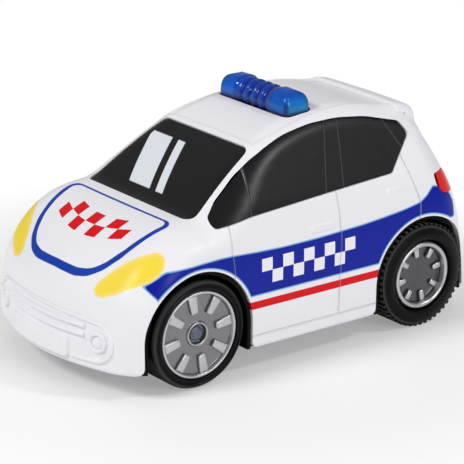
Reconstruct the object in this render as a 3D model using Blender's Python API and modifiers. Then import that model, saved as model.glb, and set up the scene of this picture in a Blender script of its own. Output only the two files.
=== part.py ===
"""Toy patrol car: a white moulded body on a black chassis, with a press-down
light bar that starts a battery motor, geared to the rear axle."""

import math

import bmesh
import bpy
import numpy as np
from mathutils import Matrix, Vector
from mathutils.geometry import convex_hull_2d

MM = 0.001

# Wheels and stance
WHEELBASE = 100.0 * MM
NOSE_OVERHANG = 37.5 * MM
TAIL_OVERHANG = 30.0 * MM
WHEEL_RADIUS = 19.3 * MM
BODY_HALF_WIDTH = 43.0 * MM
GROUND_CLEARANCE = 9.1 * MM
ARCH_GAP = 3.0 * MM
CLEARANCE = 0.3 * MM

LENGTH = NOSE_OVERHANG + WHEELBASE + TAIL_OVERHANG
MIDDLE_SHIFT = 0.417 * MM
NOSE_Y = MIDDLE_SHIFT - LENGTH / 2
TAIL_Y = MIDDLE_SHIFT + LENGTH / 2
FRONT_AXLE_Y = NOSE_Y + NOSE_OVERHANG
REAR_AXLE_Y = FRONT_AXLE_Y + WHEELBASE

# Side profile of the body, each place taken from the nearer axle
HOOD_CREST_Y = FRONT_AXLE_Y + 6.0 * MM
HOOD_CREST_Z = 55.8 * MM
HOOD_RADIUS = 46.0 * MM
NOSE_EDGE_RADIUS = 5.0 * MM
WINDSCREEN_FOOT_Y = FRONT_AXLE_Y + 4.4 * MM
WINDSCREEN_RAKE = math.radians(33.5)
ROOF_CREST_Y = REAR_AXLE_Y - 30.0 * MM
ROOF_CREST_Z = 82.1 * MM
ROOF_RADIUS = 90.0 * MM
SPOILER_CREASE_Y = REAR_AXLE_Y - 4.2 * MM
SPOILER_TIP_Y = REAR_AXLE_Y + 12.0 * MM
SPOILER_SLOPE = math.radians(10.4)
SPOILER_LIP = 3.2 * MM
TAILGATE_LEAN = math.radians(34.0)
TAILGATE_FOOT_Z = 53.5 * MM
TAIL_LEAN = math.radians(11.6)
TAIL_FOOT_Z = 18.0 * MM

# Cross section and plan of the body
BELT_Z = 56.0 * MM
BELT_INSET = 4.0 * MM
BELT_HALF_WIDTH = BODY_HALF_WIDTH - BELT_INSET
TUMBLEHOME = math.radians(31.0)
LOWER_CORNER = 11.0 * MM
ROOF_CORNER = 6.0 * MM
NOSE_BOW_RADIUS = 78.0 * MM
TAIL_BOW_RADIUS = 173.0 * MM
SHELL_WALL = 2.0 * MM
SPINE_Z = 24.0 * MM

# Black panels in the body's openings
PANEL_RECESS = 0.35 * MM
PANEL_SEAT_GAP = 1.6 * MM
PANEL_FLANGE = 2.2 * MM
PANEL_FLANGE_WALL = 1.2 * MM
SCREEN_FOOT_HALF = BELT_HALF_WIDTH - 9.5 * MM
SCREEN_HEAD_HALF = BELT_HALF_WIDTH - 15.4 * MM
SCREEN_LENGTH = 35.2 * MM
SCREEN_CORNER = 3.0 * MM
SCREEN_SLAB_REACH = 5.0 * MM
WINDOW_SLAB_REACH = 4.0 * MM
WINDOW_SLAB_RISE = 34.0 * MM
WINDOW_REACH_X = BELT_HALF_WIDTH - 20.0 * MM
WINDOW_PLUG_X = BELT_HALF_WIDTH - 17.0 * MM
WINDOW_FLANGE_X = BELT_HALF_WIDTH - 14.5 * MM
REAR_SCREEN_FOOT_HALF = BELT_HALF_WIDTH - 14.0 * MM
REAR_SCREEN_HEAD_HALF = BELT_HALF_WIDTH - 18.5 * MM
REAR_SCREEN_HEIGHT = 15.0 * MM
REAR_SCREEN_FOOT_Z = 55.0 * MM
LAMP_BULGE = 0.4 * MM
LAMP_FLANGE = 1.2 * MM
LAMP_SEAT_GAP = 2.0 * MM

# Relief on the nose
PLATE_HALF_WIDTH = 16.0 * MM
PLATE_HEIGHT = 7.5 * MM
PLATE_FOOT_Z = 11.0 * MM
PLATE_RELIEF = 0.87 * MM
GRILLE_HALF_WIDTH = 22.7 * MM
GRILLE_BAR = 1.8 * MM
GRILLE_PITCH = 3.1 * MM
GRILLE_FOOT_Z = 20.9 * MM
GRILLE_BARS = 2
RELIEF = 0.6 * MM
RELIEF_ROOT = 0.8 * MM

# Wheels
AXLE_RADIUS = 1.5 * MM
AXLE_HEAD_RADIUS = 2.7 * MM
AXLE_HEAD_RISE = 1.2 * MM
FRONT_TYRE_WIDTH = 16.0 * MM
FRONT_RIM_RADIUS = 15.4 * MM
FRONT_RIB_LENGTH = 7.2 * MM
REAR_TYRE_WIDTH = 17.0 * MM
REAR_RIM_RADIUS = 12.3 * MM
REAR_RIB_LENGTH = 2.6 * MM
RIM_LIP = 1.1 * MM
RIM_STEP = 0.9 * MM
HUB_RIBS = 8
HUB_RIB_WIDTH = 2.3 * MM
HUB_WALL = 1.6 * MM
HUB_RECESS_RADIUS = 3.8 * MM
HUB_RECESS_DEPTH = 1.4 * MM
REAR_DISH = 3.0 * MM
TYRE_LUGS = 26
LUG_HEIGHT = 0.9 * MM
LUG_LENGTH = 5.0 * MM

# Chassis
FLOOR_WALL = 2.0 * MM
PAN_GAP = 0.4 * MM
LINER_WALL = 1.3 * MM
LINER_SET_BACK = 0.8 * MM
WHEEL_SIDE_GAP = 0.7 * MM
SADDLE_WIDTH = 3.0 * MM
SADDLE_LENGTH = 8.0 * MM

# Screws and bosses
SCREW_RADIUS = 1.2 * MM
SCREW_HEAD_RADIUS = 2.5 * MM
SCREW_HEAD = 1.3 * MM
HEAD_GAP = 0.45 * MM
SCREW_LENGTH = 8.0 * MM
BOSS_RADIUS = 3.0 * MM
BODY_BOSS_INSET = 7.2 * MM
BODY_BOSS_HEIGHT = 18.0 * MM
BODY_BOSS_FRONT_Y = FRONT_AXLE_Y + 28.5 * MM
BODY_BOSS_REAR_Y = REAR_AXLE_Y - 29.0 * MM

# Batteries, three lying crosswise under a door
BATTERY_RADIUS = 5.25 * MM
BATTERY_LENGTH = 44.5 * MM
BATTERY_COUNT = 3
BATTERY_PITCH = 11.1 * MM
BATTERY_MIDDLE_Y = FRONT_AXLE_Y + 42.0 * MM
BATTERY_NIPPLE_RADIUS = 1.9 * MM
BATTERY_NIPPLE = 0.8 * MM
CONTACT_ROOM = 2.6 * MM
CONTACT_SHEET = 0.5 * MM
BOX_WALL = 1.4 * MM
DOOR_WALL = 1.1 * MM

# Drive: motor pinion, compound idler, axle gear
PRESSURE_ANGLE = math.radians(25.0)
FAST_MODULE = 0.6 * MM
SLOW_MODULE = 0.8 * MM
PINION_TEETH = 10
IDLER_WHEEL_TEETH = 28
IDLER_PINION_TEETH = 10
AXLE_GEAR_TEETH = 18
BACKLASH = 0.12 * MM
FAST_FACE = 3.0 * MM
SLOW_FACE = 4.0 * MM
GEAR_SIDE_GAP = 0.5 * MM
IDLER_ANGLE = math.radians(140.0)
PINION_ANGLE = math.radians(190.0)
PIN_RADIUS = 1.0 * MM
MOTOR_SHAFT_RADIUS = 1.0 * MM
MOTOR_END_GAP = 1.0 * MM
MOTOR_RADIUS = 10.0 * MM
MOTOR_FLAT_HALF = 7.6 * MM
MOTOR_CAP_LENGTH = 4.0 * MM
MOTOR_BOSS_RADIUS = 3.0 * MM
MOTOR_BOSS = 1.4 * MM
MOTOR_FACE_X = -2.0 * MM
CASE_WALL = 1.3 * MM
CASE_ROOM = 0.8 * MM

# Light bar, a button that travels down through the roof
BAR_HALF_WIDTH = BELT_HALF_WIDTH - 19.4 * MM
BAR_LENGTH = 12.0 * MM
BAR_MIDDLE_Y = FRONT_AXLE_Y + 60.0 * MM
BAR_TOP_Z = 88.8 * MM
BAR_WAIST = 1.5 * MM
BAR_END = 9.0 * MM
BAR_CORNER = 4.5 * MM
BAR_ROUND = 3.2 * MM
BAR_WALL = 1.6 * MM
BAR_ROOF_WALL = 2.4 * MM
BAR_TRENCH_SLOPE = 1.5 * MM
BAR_GAP = 0.5 * MM
BAR_FLANGE = 1.3 * MM
BAR_SEAT_DROP = 1.5 * MM
BAR_TRAVEL = 2.3 * MM
BAR_RIBS = 5
BAR_RIB_PITCH = 4.2 * MM
BAR_RIB_RADIUS = 1.5 * MM
PUCK_RADIUS = 3.0 * MM
PUCK_WALL = 1.0 * MM
BOARD_WALL = 1.2 * MM
CARRIER_WALL = 2.0 * MM
SPRING_RADIUS = 4.6 * MM
SPRING_WIRE = 0.35 * MM
SPRING_TURNS = 4
SPRING_ROOM = 6.0 * MM
LED_RADIUS = 1.5 * MM
LED_HEIGHT = 4.6 * MM
LED_X = BAR_HALF_WIDTH - 7.6 * MM

# Sound and switching
SPEAKER_RADIUS = 12.0 * MM
SPEAKER_Y = FRONT_AXLE_Y - 17.5 * MM
SPEAKER_HEIGHT = 6.0 * MM
SPEAKER_GAP = 0.5 * MM
SOUND_HOLES = 6
SOUND_HOLE_RADIUS = 1.4 * MM
SOUND_HOLE_CIRCLE = 6.0 * MM
SOUND_BOARD_HALF = 18.0 * MM
SOUND_BOARD_LENGTH = 28.0 * MM
SWITCH_X = -20.5 * MM
SWITCH_Y = REAR_AXLE_Y - 28.0 * MM
SWITCH_HALF = 5.6 * MM
SWITCH_WIDTH = 7.0 * MM
SWITCH_HEIGHT = 5.0 * MM
KNOB_LENGTH = 4.6 * MM
KNOB_WIDTH = 3.0 * MM
KNOB_DROP = 0.7 * MM
KNOB_TRAVEL = 4.0 * MM

# Places worked out from the sizes above
FLOOR_Z = GROUND_CLEARANCE
FLOOR_TOP = FLOOR_Z + FLOOR_WALL
AXLE_Z = WHEEL_RADIUS
ARCH_RADIUS = WHEEL_RADIUS + ARCH_GAP
LINER_RADIUS = ARCH_RADIUS - CLEARANCE
WELL_FACE = BODY_HALF_WIDTH - REAR_TYRE_WIDTH - WHEEL_SIDE_GAP
WELL_BACK = WELL_FACE - LINER_WALL
SADDLE_X = WELL_BACK - SADDLE_WIDTH / 2 - 1.5 * MM
MOTOR_LENGTH = WELL_BACK - MOTOR_END_GAP - MOTOR_FACE_X
SCREEN_HEAD_Y = WINDSCREEN_FOOT_Y + SCREEN_LENGTH * math.cos(WINDSCREEN_RAKE)
PAST = 10.0 * MM
SIDES = {"left": 1, "right": -1}

# The clamp that holds the front axle down
CLAMP_POST_X = 12.0 * MM
CLAMP_POST_Y = FRONT_AXLE_Y + AXLE_RADIUS + BOSS_RADIUS + MM
CLAMP_FOOT_Z = AXLE_Z + AXLE_RADIUS + 0.8 * MM
CLAMP_WALL = 1.8 * MM

# Looks: colour, roughness, metallic and alpha
WHITE_PLASTIC = ((0.86, 0.87, 0.90), 0.35)
BLACK_PLASTIC = ((0.02, 0.02, 0.022), 0.45)
GLASS_BLACK = ((0.025, 0.027, 0.032), 0.3)
LAMP_RED = ((0.75, 0.05, 0.03), 0.25)
BEACON_BLUE = ((0.03, 0.12, 0.65), 0.1, 0.0, 0.8)
HUB_GREY = ((0.36, 0.37, 0.39), 0.35, 0.6)
TYRE_BLACK = ((0.018, 0.018, 0.019), 0.7)
STEEL = ((0.55, 0.56, 0.58), 0.3, 1.0)
GEAR_NYLON = ((0.85, 0.84, 0.78), 0.4)
BOARD_GREEN = ((0.03, 0.22, 0.08), 0.4)
CELL_GREY = ((0.25, 0.27, 0.30), 0.35, 0.3)
PUCK_BLACK = ((0.03, 0.03, 0.03), 0.8)
LED_CLEAR = ((0.7, 0.75, 0.9), 0.1, 0.0, 0.8)

PARTS = bpy.data.collections.new("toy_patrol_car")
CUTTERS = bpy.data.collections.new("cutters")


def roof_height(y):
    """Height of the roof's arc above the floor at y."""
    return ROOF_CREST_Z - ROOF_RADIUS + np.sqrt(ROOF_RADIUS**2 - (y - ROOF_CREST_Y) ** 2)


# The light bar's stack of heights under the roof
BAR_SEAT_Z = (
    roof_height(BAR_MIDDLE_Y - BAR_LENGTH / 2 - BAR_FLANGE)
    - SHELL_WALL - CLEARANCE - BAR_SEAT_DROP
)
BAR_FOOT_Z = BAR_SEAT_Z - BAR_FLANGE
BOARD_TOP_Z = BAR_FOOT_Z - SPRING_ROOM
CARRIER_TOP_Z = BOARD_TOP_Z - BOARD_WALL - CLEARANCE
CARRIER_FOOT_Z = CARRIER_TOP_Z - CARRIER_WALL
PUCK_FOOT_Z = BOARD_TOP_Z + BAR_TRAVEL + CLEARANCE
STEM_FOOT_Z = PUCK_FOOT_Z + PUCK_WALL + CLEARANCE
BAR_CORE_HALF = SPRING_RADIUS + SPRING_WIRE + 1.5 * MM
POST_RADIUS = SCREW_RADIUS + CLEARANCE + 1.1 * MM
POST_REACH = BAR_LENGTH / 2 + BAR_FLANGE + 0.5 * MM + POST_RADIUS
CARRIER_HALF_LENGTH = POST_REACH + 3.2 * MM
CARRIER_HALF_WIDTH = BAR_HALF_WIDTH - 0.6 * MM

# The screw cups in the floor, and the screws in them
CUP_RADIUS = SCREW_HEAD_RADIUS + HEAD_GAP + 1.2 * MM
CUP_TOP_Z = FLOOR_TOP + 2.0 * MM
CUP_WALL = 1.0 * MM
SCREW_HOLE = SCREW_RADIUS + CLEARANCE
HEAD_HOLE = SCREW_HEAD_RADIUS + HEAD_GAP
SCREW_SEAT_Z = CUP_TOP_Z - CUP_WALL - CLEARANCE
BODY_BOSS_X = BODY_HALF_WIDTH - BODY_BOSS_INSET
GEARBOX_SCREW_LENGTH = 5.5 * MM

# The battery box and its door
BOX_HALF_X = BATTERY_LENGTH / 2 + CONTACT_ROOM
BOX_HALF_Y = BATTERY_COUNT * BATTERY_PITCH / 2
BATTERY_Z = FLOOR_Z + DOOR_WALL + CLEARANCE + BATTERY_RADIUS
BOX_CEILING_Z = BATTERY_Z + BATTERY_RADIUS + CLEARANCE
BOX_TOP_Z = BOX_CEILING_Z + BOX_WALL
DOOR_TAB_HALF = 5.7 * MM
DOOR_TAB_HEIGHT = 3.2 * MM
DOOR_SCREW_Y = BATTERY_MIDDLE_Y + BOX_HALF_Y + BOX_WALL + BOSS_RADIUS + 0.6 * MM
DOOR_TAB_Y = DOOR_SCREW_Y + SCREW_HEAD_RADIUS + 1.2 * MM
DOOR_LEDGE_Z = FLOOR_Z + DOOR_TAB_HEIGHT + CLEARANCE
DOOR_SCREW_SEAT_Z = FLOOR_Z + SCREW_HEAD + CLEARANCE

# Gear centres, and the gears' places along X
IDLER_REACH = SLOW_MODULE * (AXLE_GEAR_TEETH + IDLER_PINION_TEETH) / 2
PINION_REACH = FAST_MODULE * (IDLER_WHEEL_TEETH + PINION_TEETH) / 2
IDLER_Y = REAR_AXLE_Y + IDLER_REACH * math.cos(IDLER_ANGLE)
IDLER_Z = AXLE_Z + IDLER_REACH * math.sin(IDLER_ANGLE)
PINION_Y = IDLER_Y + PINION_REACH * math.cos(PINION_ANGLE)
PINION_Z = IDLER_Z + PINION_REACH * math.sin(PINION_ANGLE)
COVER_RIGHT_X = MOTOR_FACE_X - CLEARANCE
COVER_LEFT_X = COVER_RIGHT_X - CASE_WALL
CASE_RIGHT_X = COVER_LEFT_X - CLEARANCE
FAST_RIGHT_X = COVER_LEFT_X - GEAR_SIDE_GAP
FAST_LEFT_X = FAST_RIGHT_X - FAST_FACE
SLOW_RIGHT_X = FAST_LEFT_X - GEAR_SIDE_GAP
SLOW_LEFT_X = SLOW_RIGHT_X - SLOW_FACE
CASE_INSIDE_X = SLOW_LEFT_X - GEAR_SIDE_GAP
CASE_LEFT_X = CASE_INSIDE_X - CASE_WALL
GEAR_ADDENDUM = 0.8
GEAR_DEDENDUM = 1.05
FOOT_Z = CUP_TOP_Z + CLEARANCE
FOOT_TOP_Z = FOOT_Z + 6.0 * MM
FOOT_HALF = 3.6 * MM
CASE_AXLE_RADIUS = (
    SLOW_MODULE * (AXLE_GEAR_TEETH / 2 + GEAR_ADDENDUM) + CASE_ROOM + CASE_WALL
)
CASE_IDLER_RADIUS = (
    FAST_MODULE * (IDLER_WHEEL_TEETH / 2 + GEAR_ADDENDUM) + CASE_ROOM + CASE_WALL
)
CASE_PINION_RADIUS = (
    FAST_MODULE * (PINION_TEETH / 2 + GEAR_ADDENDUM) + CASE_ROOM + CASE_WALL
)
FRONT_FOOT_Y = PINION_Y
REAR_FOOT_Y = REAR_AXLE_Y + CASE_AXLE_RADIUS + 2.4 * MM


def smooth_max(a, b, blend):
    """The larger of two distances, rounded where they are within blend."""
    near = np.maximum(blend - np.abs(a - b), 0) / blend
    return np.maximum(a, b) + near * near * blend / 4


def ramp(value, low, high):
    """0 at low, 1 at high, and an S-curve between them."""
    share = np.clip((value - low) / (high - low), 0, 1)
    return share * share * (3 - 2 * share)


def spoiler_distance(y, z):
    """Distance outside the wedge that stands proud at the back of the roof."""
    crease_z = roof_height(SPOILER_CREASE_Y)
    top = (z - crease_z) * math.cos(SPOILER_SLOPE)
    top += (y - SPOILER_CREASE_Y) * math.sin(SPOILER_SLOPE)
    ends = np.maximum(y - SPOILER_TIP_Y, SPOILER_CREASE_Y - y)
    return np.maximum(np.maximum(top, ends), -top - SPOILER_LIP)


def profile_distance(y, z):
    """Distance outside the side profile: hood, windscreen, roof, spoiler, tail."""
    hood = np.where(
        y < HOOD_CREST_Y,
        np.hypot(y - HOOD_CREST_Y, z - HOOD_CREST_Z + HOOD_RADIUS) - HOOD_RADIUS,
        z - HOOD_CREST_Z,
    )
    lower = smooth_max(hood, NOSE_Y - y, NOSE_EDGE_RADIUS)
    windscreen = (z - HOOD_CREST_Z) * math.cos(WINDSCREEN_RAKE)
    windscreen -= (y - WINDSCREEN_FOOT_Y) * math.sin(WINDSCREEN_RAKE)
    roof = np.hypot(y - ROOF_CREST_Y, z - ROOF_CREST_Z + ROOF_RADIUS) - ROOF_RADIUS
    cabin = smooth_max(windscreen, roof, 3 * MM)
    body = -smooth_max(-lower, -cabin, 2.5 * MM)
    tail = (y - TAIL_Y) * math.cos(TAIL_LEAN) + (z - TAIL_FOOT_Z) * math.sin(TAIL_LEAN)
    tailgate_foot_y = TAIL_Y - (TAILGATE_FOOT_Z - TAIL_FOOT_Z) * math.tan(TAIL_LEAN)
    tailgate = (y - tailgate_foot_y) * math.cos(TAILGATE_LEAN)
    tailgate += (z - TAILGATE_FOOT_Z) * math.sin(TAILGATE_LEAN)
    back = smooth_max(smooth_max(tail, tailgate, 6 * MM), y - TAIL_Y, 4 * MM)
    body = smooth_max(body, back, 2 * MM)
    return np.minimum(body, spoiler_distance(y, z))


def side_distance(x, z):
    """Distance outside the flank, which leans in above the belt line."""
    flank = np.abs(x) - BODY_HALF_WIDTH
    glass = np.abs(x) - BELT_HALF_WIDTH + (z - BELT_Z) * math.tan(TUMBLEHOME)
    return smooth_max(flank, glass * math.cos(TUMBLEHOME), 6 * MM)


def body_distance(x, y, z):
    """Distance outside the car's outer skin, negative inside it."""
    nose_share = 1 - ramp(y, NOSE_Y, HOOD_CREST_Y)
    tail_share = ramp(y, REAR_AXLE_Y - WHEEL_RADIUS, TAIL_Y - 20 * MM)
    bowed_y = y - nose_share * x**2 / (2 * NOSE_BOW_RADIUS)
    bowed_y = bowed_y + tail_share * x**2 / (2 * TAIL_BOW_RADIUS)
    profile = profile_distance(bowed_y, z)
    side = side_distance(x, z)
    corner = LOWER_CORNER + (ROOF_CORNER - LOWER_CORNER) * ramp(z, 54 * MM, 74 * MM)
    rounded_edge = np.hypot(np.maximum(side + corner, 0), np.maximum(profile + corner, 0))
    return np.minimum(-corner, np.maximum(side, profile)) + rounded_edge


def skin_points(points, inset=0.0):
    """Each point thrown outwards from the car's spine until it meets the skin,
    or the surface that lies inset below it."""
    points = np.asarray(points, float)
    spine = np.zeros_like(points)
    spine[:, 1] = np.clip(points[:, 1], NOSE_Y + 18 * MM, TAIL_Y - 22 * MM)
    spine[:, 2] = np.minimum(points[:, 2], SPINE_Z)
    way = points - spine
    way /= np.linalg.norm(way, axis=1)[:, None]
    near, far = np.zeros(len(points)), np.full(len(points), 1.4 * LENGTH / 2)
    for _ in range(36):
        middle = (near + far) / 2
        p = spine + way * middle[:, None]
        outside = body_distance(p[:, 0], p[:, 1], p[:, 2]) > -inset
        far = np.where(outside, middle, far)
        near = np.where(outside, near, middle)
    return spine + way * ((near + far) / 2)[:, None]


def finish(name, colour, roughness, metallic=0.0, alpha=1.0):
    """A plain Principled material."""
    made = bpy.data.materials.new(name)
    made.use_nodes = True
    shader = made.node_tree.nodes["Principled BSDF"]
    shader.inputs["Base Color"].default_value = (*colour, 1)
    shader.inputs["Roughness"].default_value = roughness
    shader.inputs["Metallic"].default_value = metallic
    shader.inputs["Alpha"].default_value = alpha
    return made


def mesh_of(bm, name):
    """The bmesh as a mesh that faces out, smooth where it is round."""
    bmesh.ops.recalc_face_normals(bm, faces=bm.faces)
    mesh = bpy.data.meshes.new(name)
    bm.to_mesh(mesh)
    bm.free()
    mesh.shade_smooth()
    mesh.set_sharp_from_angle(angle=math.radians(35))
    return mesh


def part(name, bm, look, place=(0, 0, 0), turn=(0, 0, 0)):
    """A named piece of the car with a material of its own."""
    made = bpy.data.objects.new(name, mesh_of(bm, name))
    made.data.materials.append(finish(name, *look))
    made.location = place
    made.rotation_euler = turn
    PARTS.objects.link(made)
    return made


def turned(name, profile, look, place=(0, 0, 0), turn=(0, 0, 0), steps=48, ring=False):
    """A profile of (radius, height) points, from the top down its outer side,
    spun round Z. A ring's profile closes on itself, clear of the axis."""
    points = [(radius, 0, height) for radius, height in profile]
    edges = [(i, i + 1) for i in range(len(points) - 1)]
    if ring:
        edges.append((len(points) - 1, 0))
    mesh = bpy.data.meshes.new(name)
    mesh.from_pydata(points, edges, [])
    made = bpy.data.objects.new(name, mesh)
    made.data.materials.append(finish(name, *look))
    made.location = place
    made.rotation_euler = turn
    PARTS.objects.link(made)
    screw = made.modifiers.new("spin", "SCREW")
    screw.steps = screw.render_steps = steps
    screw.merge_threshold = 0.01 * MM
    screw.use_merge_vertices = True
    screw.use_smooth_shade = True
    return made


def tool(name, bm):
    """A shape that only cuts or joins other pieces."""
    made = bpy.data.objects.new(name, mesh_of(bm, name))
    made.hide_render = True
    made.display_type = "WIRE"
    CUTTERS.objects.link(made)
    return made


def combine(target, operation, tools):
    """Boolean modifiers on the target, one for each tool."""
    for other in tools:
        modifier = target.modifiers.new(other.name, "BOOLEAN")
        modifier.operation = operation
        modifier.object = other
        modifier.solver = "EXACT"
    return target


def cut(target, *tools):
    """Takes the tools' shapes out of the target."""
    return combine(target, "DIFFERENCE", tools)


def join(target, *tools):
    """Adds the tools' shapes to the target."""
    return combine(target, "UNION", tools)


def keep(target, *tools):
    """Leaves only what lies inside the tools' shapes."""
    return combine(target, "INTERSECT", tools)


def together(*shapes):
    """Several bmeshes in one, still separate bodies."""
    whole = shapes[0]
    for other in shapes[1:]:
        loose = bpy.data.meshes.new("loose")
        other.to_mesh(loose)
        other.free()
        whole.from_mesh(loose)
        bpy.data.meshes.remove(loose)
    return whole


def box(low, high):
    """A box between two corners."""
    low, high = Vector(low), Vector(high)
    bm = bmesh.new()
    bmesh.ops.create_cube(bm, size=1)
    bmesh.ops.scale(bm, vec=high - low, verts=bm.verts)
    bmesh.ops.translate(bm, vec=(low + high) / 2, verts=bm.verts)
    return bm


def rod(start, end, radius, segments=24, end_radius=None):
    """A round bar from start to end."""
    start, end = Vector(start), Vector(end)
    bm = bmesh.new()
    bmesh.ops.create_cone(
        bm,
        cap_ends=True,
        segments=segments,
        radius1=radius,
        radius2=radius if end_radius is None else end_radius,
        depth=(end - start).length,
    )
    turn = (end - start).to_track_quat("Z", "Y").to_matrix().to_4x4()
    bmesh.ops.transform(bm, matrix=Matrix.Translation((start + end) / 2) @ turn, verts=bm.verts)
    return bm


def rounded(corners, steps=3):
    """A closed outline whose corners (u, v, radius) are arcs."""
    points = []
    count = len(corners)
    for index, (u, v, radius) in enumerate(corners):
        corner = Vector((u, v))
        before = Vector(corners[index - 1][:2]) - corner
        after = Vector(corners[(index + 1) % count][:2]) - corner
        half = before.angle(after) / 2
        reach = min(radius / math.tan(half), 0.49 * before.length, 0.49 * after.length)
        if reach < 0.01 * MM:
            points.append(tuple(corner))
            continue
        arc_radius = reach * math.tan(half)
        inward = (before.normalized() + after.normalized()).normalized()
        centre = corner + inward * arc_radius / math.sin(half)
        start = corner + before.normalized() * reach - centre
        end = corner + after.normalized() * reach - centre
        sweep = start.angle_signed(end)
        for step in range(steps + 1):
            turned_start = start.copy()
            turned_start.rotate(Matrix.Rotation(-sweep * step / steps, 2))
            points.append(tuple(centre + turned_start))
    return points


def grown(outline, distance):
    """The outline moved outwards by distance."""
    area = sum(
        a[0] * b[1] - a[1] * b[0] for a, b in zip(outline, outline[1:] + outline[:1])
    )
    side = 1 if area > 0 else -1
    moved = []
    for before, here, after in zip(outline[-1:] + outline[:-1], outline, outline[1:] + outline[:1]):
        into = (Vector(here) - Vector(before)).normalized()
        out = (Vector(after) - Vector(here)).normalized()
        normals = Vector((into.y, -into.x)) + Vector((out.y, -out.x))
        normal = normals.normalized() * side
        bend = max(0.5, normals.length / 2)
        moved.append(tuple(Vector(here) + normal * distance / bend))
    return moved


def prism(outline, origin, across, up, low, high):
    """An outline, drawn in the plane of across and up, between two depths
    along that plane's normal."""
    across, up = Vector(across).normalized(), Vector(up).normalized()
    normal = across.cross(up)
    bm = bmesh.new()
    start = Vector(origin) + normal * low
    corners = [bm.verts.new(start + across * u + up * v) for u, v in outline]
    bm.faces.new(corners)
    swept = bmesh.ops.extrude_face_region(bm, geom=bm.faces[:])
    moved = [item for item in swept["geom"] if isinstance(item, bmesh.types.BMVert)]
    bmesh.ops.translate(bm, vec=normal * (high - low), verts=moved)
    return bm


def side_prism(outline, low, high):
    """A prism along X of an outline in Y and Z."""
    return prism(outline, (0, 0, 0), (0, 1, 0), (0, 0, 1), low, high)


def plan_prism(outline, low, high):
    """A prism along Z of an outline in X and Y."""
    return prism(outline, (0, 0, 0), (1, 0, 0), (0, 1, 0), low, high)


def thrown(bm, outer, inner):
    """The bmesh's open surface moved onto the skin at two depths, as a wall."""
    base = list(bm.verts)
    start = [vert.co[:] for vert in base]
    swept = bmesh.ops.extrude_face_region(bm, geom=bm.faces[:])
    upper = [item for item in swept["geom"] if isinstance(item, bmesh.types.BMVert)]
    upper_start = [vert.co[:] for vert in upper]
    for verts, places, inset in ((base, start, inner), (upper, upper_start, outer)):
        for vert, place in zip(verts, skin_points(places, inset)):
            vert.co = place
    bmesh.ops.triangulate(bm, faces=bm.faces)
    return bm


def skin_patch(origin, across, up, cells_across, cells_up, outer, inner):
    """A slab of the skin over a flat grid that starts at origin."""
    bm = bmesh.new()
    bmesh.ops.create_grid(bm, x_segments=cells_across, y_segments=cells_up, size=0.5)
    frame = Matrix.Identity(4)
    frame.col[0].xyz = across
    frame.col[1].xyz = up
    frame.col[2].xyz = Vector(across).cross(Vector(up)).normalized()
    frame.col[3].xyz = Vector(origin) + Vector(across) / 2 + Vector(up) / 2
    bmesh.ops.transform(bm, matrix=frame, verts=bm.verts)
    return thrown(bm, outer, inner)


def body_box(across, along, upward):
    """A box round the body without its bottom, cut into cells on planes."""
    top = ROOF_CREST_Z
    bm = box((-BODY_HALF_WIDTH, NOSE_Y, FLOOR_Z), (BODY_HALF_WIDTH, TAIL_Y, top))
    bottom = [face for face in bm.faces if face.normal.z < -0.5]
    bmesh.ops.delete(bm, geom=bottom, context="FACES")
    cuts = [(Vector((x, 0, 0)), Vector((1, 0, 0))) for x in across]
    cuts += [(Vector((0, y, 0)), Vector((0, 1, 0))) for y in along]
    cuts += [(Vector((0, 0, z)), Vector((0, 0, 1))) for z in upward]
    for place, normal in cuts:
        everything = bm.verts[:] + bm.edges[:] + bm.faces[:]
        bmesh.ops.bisect_plane(bm, geom=everything, plane_co=place, plane_no=normal)
    return bm


def spread(low, high, count):
    """Cuts between two ends, closer together near the ends."""
    half = (high - low) / 2
    angles = [math.pi * (i + 1) / (count + 1) for i in range(count)]
    return [low + half * (1 - 0.75 * math.cos(a) - 0.25 * (1 - 2 * a / math.pi)) for a in angles]


def body_cells(across=7, along=13, upward=5):
    """The cuts across, along and up the body, with some at its creases."""
    lengthwise = spread(NOSE_Y, TAIL_Y, along)
    lengthwise += [WINDSCREEN_FOOT_Y, SCREEN_HEAD_Y, SPOILER_CREASE_Y, SPOILER_TIP_Y]
    crosswise = spread(-BODY_HALF_WIDTH, BODY_HALF_WIDTH, across)
    return crosswise, lengthwise, spread(FLOOR_Z, ROOF_CREST_Z, upward)


def body_core(inset):
    """The space inside the skin, as one closed solid with a flat bottom."""
    bm = body_box(*body_cells(5, 10, 4))
    places = skin_points([vert.co[:] for vert in bm.verts], inset)
    for vert, place in zip(bm.verts, places):
        vert.co = place
    rim = [edge for edge in bm.edges if edge.is_boundary]
    bmesh.ops.holes_fill(bm, edges=rim)
    bmesh.ops.triangulate(bm, faces=bm.faces)
    return bm


def arch_outline(centre_y, radius):
    """A wheel arch: a half circle over straight sides."""
    steps = 14
    outline = []
    for step in range(steps + 1):
        angle = math.pi * step / steps
        outline.append((centre_y + radius * math.cos(angle), AXLE_Z + radius * math.sin(angle)))
    outline.append((centre_y - radius, FLOOR_Z - PAST))
    outline.append((centre_y + radius, FLOOR_Z - PAST))
    return outline


def arches(radius, inner_x, outer_x):
    """Four arch-shaped blocks, one over each wheel."""
    blocks = []
    for side in SIDES.values():
        ends = sorted((side * inner_x, side * outer_x))
        for centre_y in (FRONT_AXLE_Y, REAR_AXLE_Y):
            blocks.append(side_prism(arch_outline(centre_y, radius), *ends))
    return together(*blocks)


def screen_outline(foot_half, head_half, height, corner):
    """A windscreen: a tapered outline with rounded corners."""
    return rounded([
        (-foot_half, 0, corner),
        (foot_half, 0, corner),
        (head_half, height, corner),
        (-head_half, height, corner),
    ])


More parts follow.
